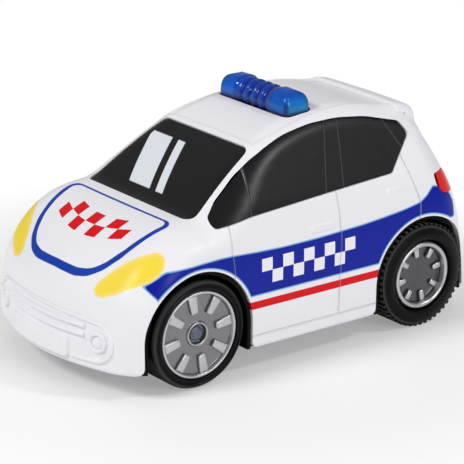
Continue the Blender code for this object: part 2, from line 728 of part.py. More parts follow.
def side_window_outline():
    """The side window's outline in Y and Z."""
    y = FRONT_AXLE_Y
    corners = [
        (6.6, 54.6, 2.5), (24.0, 55.7, 30), (57.0, 57.7, 60), (87.6, 59.8, 5),
        (102.4, 68.0, 2.5), (96.6, 75.2, 4), (82.8, 77.8, 40), (72.0, 79.2, 60),
        (60.0, 78.9, 60), (46.0, 76.2, 60), (31.5, 70.0, 50), (18.5, 61.2, 40),
    ]
    return rounded([(y + u * MM, v * MM, radius * MM) for u, v, radius in corners], 2)


def lamp_outline():
    """The tail lamp's outline, along the corner's diagonal and up."""
    return rounded([
        (-6.0 * MM, 55.2 * MM, 1.2 * MM),
        (-7.3 * MM, 51.4 * MM, 3.0 * MM),
        (-5.4 * MM, 48.0 * MM, 2.5 * MM),
        (9.0 * MM, 47.2 * MM, 2.0 * MM),
        (8.0 * MM, 53.6 * MM, 2.5 * MM),
        (0.5 * MM, 55.2 * MM, 4.0 * MM),
    ])


def screen_frame():
    """The windscreen's foot, its direction across and its direction up."""
    up = Vector((0, math.cos(WINDSCREEN_RAKE), math.sin(WINDSCREEN_RAKE)))
    foot = Vector((0, WINDSCREEN_FOOT_Y + 1.2 * MM, HOOD_CREST_Z + 1.2 * MM * math.tan(WINDSCREEN_RAKE)))
    return foot, Vector((1, 0, 0)), up


def rear_screen_frame():
    """The rear window's foot, its direction across and its direction up."""
    up = Vector((0, -math.sin(TAILGATE_LEAN), math.cos(TAILGATE_LEAN)))
    foot_y = TAIL_Y - (TAILGATE_FOOT_Z - TAIL_FOOT_Z) * math.tan(TAIL_LEAN)
    foot_y -= (REAR_SCREEN_FOOT_Z - TAILGATE_FOOT_Z) * math.tan(TAILGATE_LEAN)
    return Vector((0, foot_y, REAR_SCREEN_FOOT_Z)), Vector((-1, 0, 0)), up


def lamp_frame(side):
    """The tail lamp's place on the corner, and its diagonal directions."""
    place = Vector((side * BELT_HALF_WIDTH, TAIL_Y - 14 * MM, 0))
    return place, Vector((-side, 1, 0)).normalized(), Vector((0, 0, 1))


def panel(name, outline, frame, slab, depths, look, outer=PANEL_RECESS, flange=None):
    """A panel that fills an opening of the shell, with a flange behind it."""
    width, flange_depths, gap = flange or (PANEL_FLANGE, depths, PANEL_SEAT_GAP)
    seat = SHELL_WALL + gap
    plug = part(name, skin_patch(*slab, outer, seat + PANEL_FLANGE_WALL / 2), look)
    keep(plug, tool(name + "_outline", prism(outline, *frame, *depths)))
    ledge = tool(name + "_flange", skin_patch(*slab, seat, seat + PANEL_FLANGE_WALL))
    wide = prism(grown(outline, width), *frame, *flange_depths)
    keep(ledge, tool(name + "_flange_outline", wide))
    return join(plug, ledge)


def openings():
    """The shell's openings for its panels and lamps, and for the light bar."""
    cutters = [arches(ARCH_RADIUS, WELL_BACK - PAST / 2, BODY_HALF_WIDTH + PAST)]
    screen = screen_outline(SCREEN_FOOT_HALF, SCREEN_HEAD_HALF, SCREEN_LENGTH, SCREEN_CORNER)
    cutters.append(prism(grown(screen, CLEARANCE), *screen_frame(), -PAST, PAST))
    rear = screen_outline(REAR_SCREEN_FOOT_HALF, REAR_SCREEN_HEAD_HALF, REAR_SCREEN_HEIGHT, SCREEN_CORNER)
    cutters.append(prism(grown(rear, CLEARANCE), *rear_screen_frame(), -PAST, PAST))
    for side in SIDES.values():
        ends = sorted((side * WINDOW_REACH_X, side * (BODY_HALF_WIDTH + PAST)))
        cutters.append(side_prism(grown(side_window_outline(), CLEARANCE), *ends))
        lamp = grown(lamp_outline(), CLEARANCE)
        cutters.append(prism(lamp, *lamp_frame(side), -1.5 * PAST, PAST))
    hole = grown(bar_outline(), BAR_GAP)
    cutters.append(plan_prism(hole, ROOF_CREST_Z - 2 * PAST, ROOF_CREST_Z + PAST))
    return [tool(f"opening_{i}", bm) for i, bm in enumerate(cutters)]


def bar_outline():
    """The light bar's outline seen from above."""
    half = BAR_LENGTH / 2
    return rounded([
        (-BAR_HALF_WIDTH, BAR_MIDDLE_Y - half, BAR_CORNER),
        (BAR_HALF_WIDTH, BAR_MIDDLE_Y - half, BAR_CORNER),
        (BAR_HALF_WIDTH, BAR_MIDDLE_Y + half, BAR_CORNER),
        (-BAR_HALF_WIDTH, BAR_MIDDLE_Y + half, BAR_CORNER),
    ])


def nose_relief():
    """The raised number plate and grille bars on the nose."""
    w = BODY_HALF_WIDTH - 4 * MM
    low_z, high_z = FLOOR_Z + 0.5 * MM, GRILLE_FOOT_Z + GRILLE_PITCH * GRILLE_BARS + 4 * MM
    depths = (-BODY_HALF_WIDTH, BODY_HALF_WIDTH)
    frame = ((0, NOSE_Y - 5 * MM + BODY_HALF_WIDTH, 0), (1, 0, 0), (0, 0, 1))
    outlines = []
    top = PLATE_FOOT_Z + PLATE_HEIGHT
    plate = rounded([
        (-PLATE_HALF_WIDTH, PLATE_FOOT_Z, 2 * MM), (PLATE_HALF_WIDTH, PLATE_FOOT_Z, 2 * MM),
        (PLATE_HALF_WIDTH, top, 2 * MM), (-PLATE_HALF_WIDTH, top, 2 * MM),
    ])
    outlines.append((plate, PLATE_RELIEF))
    for bar in range(GRILLE_BARS):
        z = GRILLE_FOOT_Z + bar * GRILLE_PITCH
        h = GRILLE_BAR / 2
        outlines.append((rounded([
            (-GRILLE_HALF_WIDTH, z - h, h), (GRILLE_HALF_WIDTH, z - h, h),
            (GRILLE_HALF_WIDTH, z + h, h), (-GRILLE_HALF_WIDTH, z + h, h),
        ]), RELIEF))
    raised = []
    for index, (outline, height) in enumerate(outlines):
        slab = ((-w, NOSE_Y, low_z), (2 * w, 0, 0), (0, 0, high_z - low_z), 8, 3)
        lump = tool(f"relief_{index}", skin_patch(*slab, -height, RELIEF_ROOT))
        keep(lump, tool(f"relief_outline_{index}", prism(outline, *frame, *depths)))
        raised.append(lump)
    return raised


def body_shell():
    """The white body with its openings, relief, screw bosses and roof posts."""
    shell = part("body_shell", thrown(body_box(*body_cells()), 0, SHELL_WALL), WHITE_PLASTIC)
    join(shell, *nose_relief())
    cut(shell, *openings())
    bosses, holes = [], []
    for side in SIDES.values():
        for y in (BODY_BOSS_FRONT_Y, BODY_BOSS_REAR_Y):
            x = side * BODY_BOSS_X
            top = FOOT_Z + BODY_BOSS_HEIGHT
            bosses.append(rod((x, y, FOOT_Z), (x, y, top), BOSS_RADIUS, 10))
            holes.append(rod((x, y, FOOT_Z - MM), (x, y, FOOT_Z + SCREW_LENGTH), SCREW_HOLE, 8))
            web = sorted((x, side * (BODY_HALF_WIDTH - SHELL_WALL / 2)))
            low = (web[0], y - MM, FOOT_Z)
            join(shell, tool("web", box(low, (web[1], y + MM, top - 2 * MM))))
    for end in (-1, 1):
        y = BAR_MIDDLE_Y + end * POST_REACH
        foot = CARRIER_TOP_Z + CLEARANCE
        bosses.append(rod((0, y, foot), (0, y, roof_height(y) - SHELL_WALL / 2), POST_RADIUS, 12))
        holes.append(rod((0, y, foot - MM), (0, y, foot + SCREW_LENGTH - MM), SCREW_HOLE, 10))
    join(shell, tool("bosses", together(*bosses)))
    cut(shell, tool("boss_holes", together(*holes)))
    return shell


def panels():
    """Windscreen, side windows, rear window and tail lamps."""
    foot, across, up = screen_frame()
    screen = screen_outline(SCREEN_FOOT_HALF, SCREEN_HEAD_HALF, SCREEN_LENGTH, SCREEN_CORNER)
    reach = SCREEN_SLAB_REACH
    origin = foot - across * (SCREEN_FOOT_HALF + reach) - up * reach
    slab = (origin, across * 2 * (SCREEN_FOOT_HALF + reach), up * (SCREEN_LENGTH + 2 * reach), 8, 4)
    panel("windscreen_panel", screen, screen_frame(), slab, (-PAST, PAST), GLASS_BLACK)
    foot, across, up = rear_screen_frame()
    rear = screen_outline(REAR_SCREEN_FOOT_HALF, REAR_SCREEN_HEAD_HALF, REAR_SCREEN_HEIGHT, SCREEN_CORNER)
    reach = SCREEN_SLAB_REACH + MM
    origin = foot - across * (REAR_SCREEN_FOOT_HALF + reach) - up * reach
    wide, tall = 2 * (REAR_SCREEN_FOOT_HALF + reach), REAR_SCREEN_HEIGHT + 2 * reach
    slab = (origin, across * wide, up * tall, 6, 4)
    panel("rear_window_panel", rear, rear_screen_frame(), slab, (-PAST, PAST), GLASS_BLACK)
    for name, side in SIDES.items():
        ends = sorted((side * WINDOW_PLUG_X, side * (BODY_HALF_WIDTH + PAST)))
        flange_ends = sorted((side * WINDOW_FLANGE_X, side * (BODY_HALF_WIDTH + PAST)))
        outline = side_window_outline()
        low_y = min(y for y, z in outline) - WINDOW_SLAB_REACH
        high_y = max(y for y, z in outline) + WINDOW_SLAB_REACH
        start = (side * (BELT_HALF_WIDTH + MM), low_y, BELT_Z - WINDOW_SLAB_REACH - 2 * MM)
        rise = WINDOW_SLAB_RISE
        slab = (start, (0, high_y - low_y, 0), (-side * rise * math.tan(TUMBLEHOME), 0, rise), 7, 3)
        frame = ((0, 0, 0), (0, 1, 0), (0, 0, 1))
        window = (f"side_window_{name}", outline, frame, slab, ends, GLASS_BLACK)
        window = panel(*window, flange=(PANEL_FLANGE, flange_ends, PANEL_SEAT_GAP))
        beyond = prism(grown(screen, PANEL_FLANGE + CLEARANCE), *screen_frame(), -2 * PAST, PAST)
        cut(window, tool(f"window_{name}_end", beyond))
        place, across, up = lamp_frame(side)
        start = place - across * 11 * MM + up * 38 * MM
        slab = (start, across * 28 * MM, up * 28 * MM, 4, 3)
        look = (f"tail_lamp_{name}", lamp_outline(), lamp_frame(side), slab, (-PAST, PAST), LAMP_RED)
        panel(*look, outer=-LAMP_BULGE, flange=(LAMP_FLANGE, (-PAST, PAST), LAMP_SEAT_GAP))


def wheel_turn(side):
    """The turn that lays a wheel's outer face towards its side of the car."""
    return (0, side * math.pi / 2, 0)


def hub_ribs(side, centre_y, inner_radius, outer_radius, low, high):
    """Bars that stand on the hub's face, pointing at its middle."""
    bars = []
    for index in range(HUB_RIBS):
        ends = sorted((side * low, side * high))
        bar = box(
            (ends[0], inner_radius, -HUB_RIB_WIDTH / 2),
            (ends[1], outer_radius, HUB_RIB_WIDTH / 2),
        )
        angle = (index + 0.5) * 2 * math.pi / HUB_RIBS
        bmesh.ops.rotate(bar, verts=bar.verts, cent=(0, 0, 0), matrix=Matrix.Rotation(angle, 3, "X"))
        bmesh.ops.translate(bar, verts=bar.verts, vec=(0, centre_y, AXLE_Z))
        bars.append(bar)
    return together(*bars)


def front_wheel(name, side):
    """A front hub, free on the fixed axle, and its smooth tyre."""
    width, rim = FRONT_TYRE_WIDTH, FRONT_RIM_RADIUS
    inner_x = BODY_HALF_WIDTH - width
    lip, face = width - 0.4 * MM, width - 0.4 * MM - RIM_STEP
    lip_back = lip - 1.6 * MM
    barrel = rim - 1.5 * MM
    bore = AXLE_RADIUS + CLEARANCE
    floor = face - HUB_RECESS_DEPTH
    tube = HUB_RECESS_RADIUS + 0.6 * MM
    place = (side * inner_x, FRONT_AXLE_Y, AXLE_Z)
    profile = [
        (bore, floor), (HUB_RECESS_RADIUS, floor), (HUB_RECESS_RADIUS, face - 0.3 * MM),
        (rim - RIM_LIP - 0.4 * MM, face), (rim - RIM_LIP, lip), (rim, lip), (rim, lip_back),
        (barrel, lip_back), (barrel, MM), (barrel - HUB_WALL, MM),
        (barrel - HUB_WALL, floor - HUB_WALL), (tube, floor - HUB_WALL),
        (tube, 0.5 * MM), (bore, 0.5 * MM),
    ]
    hub = turned(f"front_hub_{name}", profile, HUB_GREY, place, wheel_turn(side), 18, ring=True)
    reach = rim - RIM_LIP - 0.2 * MM
    ribs = (reach - FRONT_RIB_LENGTH, reach, inner_x + face - 0.6 * MM, inner_x + lip - 0.2 * MM)
    join(hub, tool(f"front_ribs_{name}", hub_ribs(side, FRONT_AXLE_Y, *ribs)))
    seat, lip_seat = barrel + CLEARANCE, rim + CLEARANCE
    profile = [
        (lip_seat, width - 0.2 * MM), (WHEEL_RADIUS - 1.8 * MM, width),
        (WHEEL_RADIUS, width - 1.8 * MM), (WHEEL_RADIUS, 1.2 * MM), (seat, 0.3 * MM),
        (seat, lip_back - CLEARANCE), (lip_seat, lip_back - CLEARANCE),
    ]
    turned(f"front_tyre_{name}", profile, TYRE_BLACK, place, wheel_turn(side), 32, ring=True)


def rear_hub_face():
    """How far the rear hub's dished face lies from the wheel's inner side."""
    return REAR_TYRE_WIDTH - 0.4 * MM - REAR_DISH


def rear_wheel(name, side):
    """A rear hub, pressed on the turning axle, and its tyre with edge lugs."""
    width, rim = REAR_TYRE_WIDTH, REAR_RIM_RADIUS
    inner_x = BODY_HALF_WIDTH - width
    lip, face = width - 0.4 * MM, rear_hub_face()
    lip_back = lip - 1.8 * MM
    barrel = rim - 1.5 * MM
    bore = AXLE_RADIUS + CLEARANCE
    tube = HUB_RECESS_RADIUS + 0.6 * MM
    place = (side * inner_x, REAR_AXLE_Y, AXLE_Z)
    reach = rim - RIM_LIP - 1.0 * MM
    profile = [
        (0, face), (reach, face), (rim - RIM_LIP, lip), (rim, lip), (rim, lip_back),
        (barrel, lip_back), (barrel, MM), (barrel - HUB_WALL, MM),
        (barrel - HUB_WALL, face - HUB_WALL), (tube, face - HUB_WALL),
        (tube, 0.5 * MM), (bore, 0.5 * MM), (bore, face - HUB_WALL), (0, face - HUB_WALL),
    ]
    hub = turned(f"rear_hub_{name}", profile, HUB_GREY, place, wheel_turn(side), 20)
    ribs = (reach - REAR_RIB_LENGTH, reach + 0.3 * MM, inner_x + face - MM, inner_x + face + MM)
    join(hub, tool(f"rear_ribs_{name}", hub_ribs(side, REAR_AXLE_Y, *ribs)))
    tyre = lugged_tyre(width, rim, barrel, lip_back)
    part(f"rear_tyre_{name}", tyre, TYRE_BLACK, place, wheel_turn(side))


def lugged_tyre(width, rim, barrel, lip_back):
    """A ring spun from its profile, with every other cell of its outer edge
    band pulled out as a lug."""
    tread = WHEEL_RADIUS - LUG_HEIGHT
    shoulder = 1.1 * MM
    seat, lip_seat = barrel + CLEARANCE, rim + CLEARANCE
    profile = [
        (lip_seat, width), (tread - 0.6 * MM, width), (tread, width - shoulder),
        (tread, width - shoulder - LUG_LENGTH), (tread, shoulder), (seat, 0),
        (seat, lip_back - CLEARANCE), (lip_seat, lip_back - CLEARANCE),
    ]
    bm = bmesh.new()
    verts = [bm.verts.new((radius, 0, height)) for radius, height in profile]
    edges = [bm.edges.new((verts[i - 1], verts[i])) for i in range(len(verts))]
    bmesh.ops.spin(
        bm, geom=verts + edges, cent=(0, 0, 0), axis=(0, 0, 1), angle=2 * math.pi,
        steps=2 * TYRE_LUGS, use_merge=True,
    )
    bmesh.ops.recalc_face_normals(bm, faces=bm.faces)
    step = math.pi / TYRE_LUGS
    raised = []
    for face in bm.faces:
        middle = face.calc_center_median()
        radius = math.hypot(middle.x, middle.y)
        band = abs(middle.z - (width - shoulder - LUG_LENGTH / 2))
        cell = int((math.atan2(middle.y, middle.x) % (2 * math.pi)) / step)
        if band < 0.1 * MM and radius > tread - 0.5 * MM and cell % 2 == 0:
            raised.append(face)
    lugs = bmesh.ops.extrude_discrete_faces(bm, faces=raised)["faces"]
    for face in lugs:
        out = face.calc_center_median()
        out.z = 0
        bmesh.ops.translate(bm, verts=face.verts, vec=out.normalized() * LUG_HEIGHT)
    return bm


def axles():
    """The fixed front axle with its domed heads, and the turning rear axle."""
    half = BODY_HALF_WIDTH - 0.4 * MM - RIM_STEP - HUB_RECESS_DEPTH + CLEARANCE
    ball = AXLE_HEAD_RADIUS
    dome = [(0, half + AXLE_HEAD_RISE), (0.6 * ball, half + 0.85 * AXLE_HEAD_RISE)]
    dome += [(ball, half + 0.3 * AXLE_HEAD_RISE), (ball, half), (AXLE_RADIUS, half)]
    profile = dome + [(radius, -height) for radius, height in reversed(dome)]
    turned("front_axle", profile, STEEL, (0, FRONT_AXLE_Y, AXLE_Z), (0, math.pi / 2, 0), 12)
    end = BODY_HALF_WIDTH - REAR_TYRE_WIDTH + rear_hub_face() - HUB_WALL - CLEARANCE
    profile = [(0, end), (AXLE_RADIUS, end), (AXLE_RADIUS, -end), (0, -end)]
    turned("rear_axle", profile, STEEL, (0, REAR_AXLE_Y, AXLE_Z), (0, math.pi / 2, 0), 12)


def gear_outline(teeth, module, tooth_angle):
    """A spur gear's outline, with one tooth centred on tooth_angle."""
    pitch = teeth * module / 2
    base = pitch * math.cos(PRESSURE_ANGLE)
    root, tip = pitch - GEAR_DEDENDUM * module, pitch + GEAR_ADDENDUM * module

    def half_tooth(radius):
        lean = math.acos(min(1, base / max(radius, base)))
        half = math.pi / (2 * teeth) - BACKLASH / (2 * pitch)
        return half + math.tan(PRESSURE_ANGLE) - PRESSURE_ANGLE - math.tan(lean) + lean

    outline = []
    for tooth in range(teeth):
        middle = tooth_angle + 2 * math.pi * tooth / teeth
        flank = [(radius, half_tooth(radius)) for radius in (root, tip)]
        for radius, half in flank:
            outline.append((radius * math.cos(middle - half), radius * math.sin(middle - half)))
        for radius, half in reversed(flank):
            outline.append((radius * math.cos(middle + half), radius * math.sin(middle + half)))
    return outline


def gear(left_x, right_x, teeth, module, tooth_angle):
    """A gear round the X axis, between two places along it."""
    outline = gear_outline(teeth, module, tooth_angle)
    return side_prism(outline, left_x, right_x)


def gears():
    """Axle gear, compound idler on its pin, and motor pinion on its shaft."""
    axle_gear = gear(SLOW_LEFT_X, SLOW_RIGHT_X, AXLE_GEAR_TEETH, SLOW_MODULE, IDLER_ANGLE)
    wheel = part("axle_gear", axle_gear, GEAR_NYLON, (0, REAR_AXLE_Y, AXLE_Z))
    axis = ((CASE_LEFT_X, REAR_AXLE_Y, AXLE_Z), (0, REAR_AXLE_Y, AXLE_Z))
    cut(wheel, tool("axle_gear_bore", rod(*axis, AXLE_RADIUS + CLEARANCE, 12)))
    big = gear(FAST_LEFT_X, FAST_RIGHT_X, IDLER_WHEEL_TEETH, FAST_MODULE, PINION_ANGLE)
    idler = part("idler_gear", big, GEAR_NYLON, (0, IDLER_Y, IDLER_Z))
    gap_angle = IDLER_ANGLE + math.pi + math.pi / IDLER_PINION_TEETH
    small = gear(SLOW_LEFT_X, FAST_LEFT_X + MM, IDLER_PINION_TEETH, SLOW_MODULE, gap_angle)
    bmesh.ops.translate(small, verts=small.verts, vec=(0, IDLER_Y, IDLER_Z))
    join(idler, tool("idler_small_gear", small))
    axis = ((CASE_LEFT_X, IDLER_Y, IDLER_Z), (0, IDLER_Y, IDLER_Z))
    cut(idler, tool("idler_bore", rod(*axis, PIN_RADIUS + CLEARANCE, 16)))
    pin_ends = ((CASE_LEFT_X + CLEARANCE, IDLER_Y, IDLER_Z), (COVER_RIGHT_X - CLEARANCE, IDLER_Y, IDLER_Z))
    part("idler_pin", rod(*pin_ends, PIN_RADIUS, 16), STEEL)
    gap_angle = PINION_ANGLE + math.pi + math.pi / PINION_TEETH
    pinion = gear(FAST_LEFT_X, FAST_RIGHT_X, PINION_TEETH, FAST_MODULE, gap_angle)
    pinion = part("motor_pinion", pinion, GEAR_NYLON, (0, PINION_Y, PINION_Z))
    axis = ((CASE_LEFT_X, PINION_Y, PINION_Z), (0, PINION_Y, PINION_Z))
    cut(pinion, tool("pinion_bore", rod(*axis, MOTOR_SHAFT_RADIUS + CLEARANCE, 12)))
    shaft = rod((FAST_LEFT_X - 0.3 * MM, 0, 0), (MOTOR_FACE_X + 2 * MM, 0, 0), MOTOR_SHAFT_RADIUS, 12)
    part("motor_shaft", shaft, STEEL, (0, PINION_Y, PINION_Z))


def motor():
    """The flat-sided motor can with its front boss, and its end cap."""
    back_x = MOTOR_FACE_X + MOTOR_LENGTH
    joint_x = back_x - MOTOR_CAP_LENGTH
    ends = ((MOTOR_FACE_X, PINION_Y, PINION_Z), (joint_x - CLEARANCE, PINION_Y, PINION_Z))
    can = part("motor_can", rod(*ends, MOTOR_RADIUS, 24), STEEL)
    flat = box(
        (MOTOR_FACE_X - PAST, PINION_Y - 2 * MOTOR_RADIUS, PINION_Z - MOTOR_FLAT_HALF),
        (back_x + PAST, PINION_Y + 2 * MOTOR_RADIUS, PINION_Z + MOTOR_FLAT_HALF),
    )
    flats = tool("motor_flats", flat)
    keep(can, flats)
    ends = ((MOTOR_FACE_X - MOTOR_BOSS, PINION_Y, PINION_Z), (0, PINION_Y, PINION_Z))
    join(can, tool("motor_boss", rod(*ends, MOTOR_BOSS_RADIUS, 20)))
    bore = ((MOTOR_FACE_X - PAST, PINION_Y, PINION_Z), (MOTOR_FACE_X + 3 * MM, PINION_Y, PINION_Z))
    cut(can, tool("motor_bore", rod(*bore, MOTOR_SHAFT_RADIUS + CLEARANCE, 12)))
    ends = ((joint_x, PINION_Y, PINION_Z), (back_x, PINION_Y, PINION_Z))
    keep(part("motor_end_cap", rod(*ends, MOTOR_RADIUS - 0.4 * MM, 24), BLACK_PLASTIC), flats)


def belt_outline(shrink):
    """The outline of a belt round the three gears' rooms, drawn in by shrink."""
    points = []
    rooms = (
        (REAR_AXLE_Y, AXLE_Z, CASE_AXLE_RADIUS),
        (IDLER_Y, IDLER_Z, CASE_IDLER_RADIUS),
        (PINION_Y, PINION_Z, CASE_PINION_RADIUS),
    )
    for y, z, radius in rooms:
        for angle in np.linspace(0, 2 * math.pi, 18, endpoint=False):
            reach = radius - shrink
            points.append(Vector((y + reach * math.cos(angle), z + reach * math.sin(angle))))
    return [tuple(points[index]) for index in convex_hull_2d(points)]


def gearbox():
    """The gearbox case, open towards the motor, and the cover that shuts it."""
    case = part("gearbox_case", side_prism(belt_outline(0), CASE_LEFT_X, CASE_RIGHT_X), GEAR_NYLON)
    under = tool("gearbox_floor_line", box(
        (CASE_LEFT_X - PAST, REAR_AXLE_Y - 40 * MM, FLOOR_TOP + CLEARANCE - 20 * MM),
        (MOTOR_FACE_X + PAST, REAR_AXLE_Y + 40 * MM, FLOOR_TOP + CLEARANCE),
    ))
    foot_x = (CASE_LEFT_X + CASE_RIGHT_X) / 2
    feet, holes = [], []
    for y in (FRONT_FOOT_Y, REAR_FOOT_Y):
        feet.append(box((CASE_LEFT_X, y - FOOT_HALF, FOOT_Z), (CASE_RIGHT_X, y + FOOT_HALF, FOOT_TOP_Z)))
        holes.append(rod((foot_x, y, FOOT_Z - MM), (foot_x, y, FOOT_Z + 4.6 * MM), SCREW_HOLE, 10))
    for foot in feet:
        join(case, tool("gearbox_foot", foot))
    room = side_prism(belt_outline(CASE_WALL), CASE_INSIDE_X, CASE_RIGHT_X + PAST)
    cut(case, tool("gearbox_room", room), under, tool("gearbox_screw_holes", together(*holes)))
    cover = part("gearbox_cover", side_prism(belt_outline(0), COVER_LEFT_X, COVER_RIGHT_X), GEAR_NYLON)
    cut(cover, under)
    for y, z, radius in (
        (REAR_AXLE_Y, AXLE_Z, AXLE_RADIUS),
        (IDLER_Y, IDLER_Z, PIN_RADIUS),
        (PINION_Y, PINION_Z, MOTOR_BOSS_RADIUS),
    ):
        bore = tool("gearbox_bore", rod((CASE_RIGHT_X, y, z), (0, y, z), radius + CLEARANCE, 12))
        cut(cover, bore)
    for y, z, radius in ((REAR_AXLE_Y, AXLE_Z, AXLE_RADIUS), (IDLER_Y, IDLER_Z, PIN_RADIUS)):
        bore = rod((CASE_LEFT_X - MM, y, z), (CASE_INSIDE_X + MM, y, z), radius + CLEARANCE, 12)
        cut(case, tool("case_bore", bore))
    for name, y in (("front", FRONT_FOOT_Y), ("rear", REAR_FOOT_Y)):
        screw(f"gearbox_screw_{name}", (foot_x, y, SCREW_SEAT_Z), 1, GEARBOX_SCREW_LENGTH)


def screw(name, seat, way, length=SCREW_LENGTH):
    """A pan-head screw whose head's seat is at a place, its shank up or down."""
    profile = [(0, 0.0), (SCREW_HEAD_RADIUS, 0.0)]
    profile += [(SCREW_HEAD_RADIUS, -SCREW_HEAD), (SCREW_RADIUS, -SCREW_HEAD)]
    profile += [(SCREW_RADIUS, -SCREW_HEAD - length), (0, -SCREW_HEAD - length)]
    x, y, z = seat
    turn = (0, 0, 0) if way < 0 else (math.pi, 0, 0)
    return turned(name, profile, STEEL, (x, y, z - way * SCREW_HEAD), turn, 8)


def floor_cups():
    """Places of the screws that come up through the floor."""
    foot_x = (CASE_LEFT_X + CASE_RIGHT_X) / 2
    places = [(foot_x, FRONT_FOOT_Y), (foot_x, REAR_FOOT_Y)]
    for side in SIDES.values():
        places += [(side * BODY_BOSS_X, y) for y in (BODY_BOSS_FRONT_Y, BODY_BOSS_REAR_Y)]
    return places


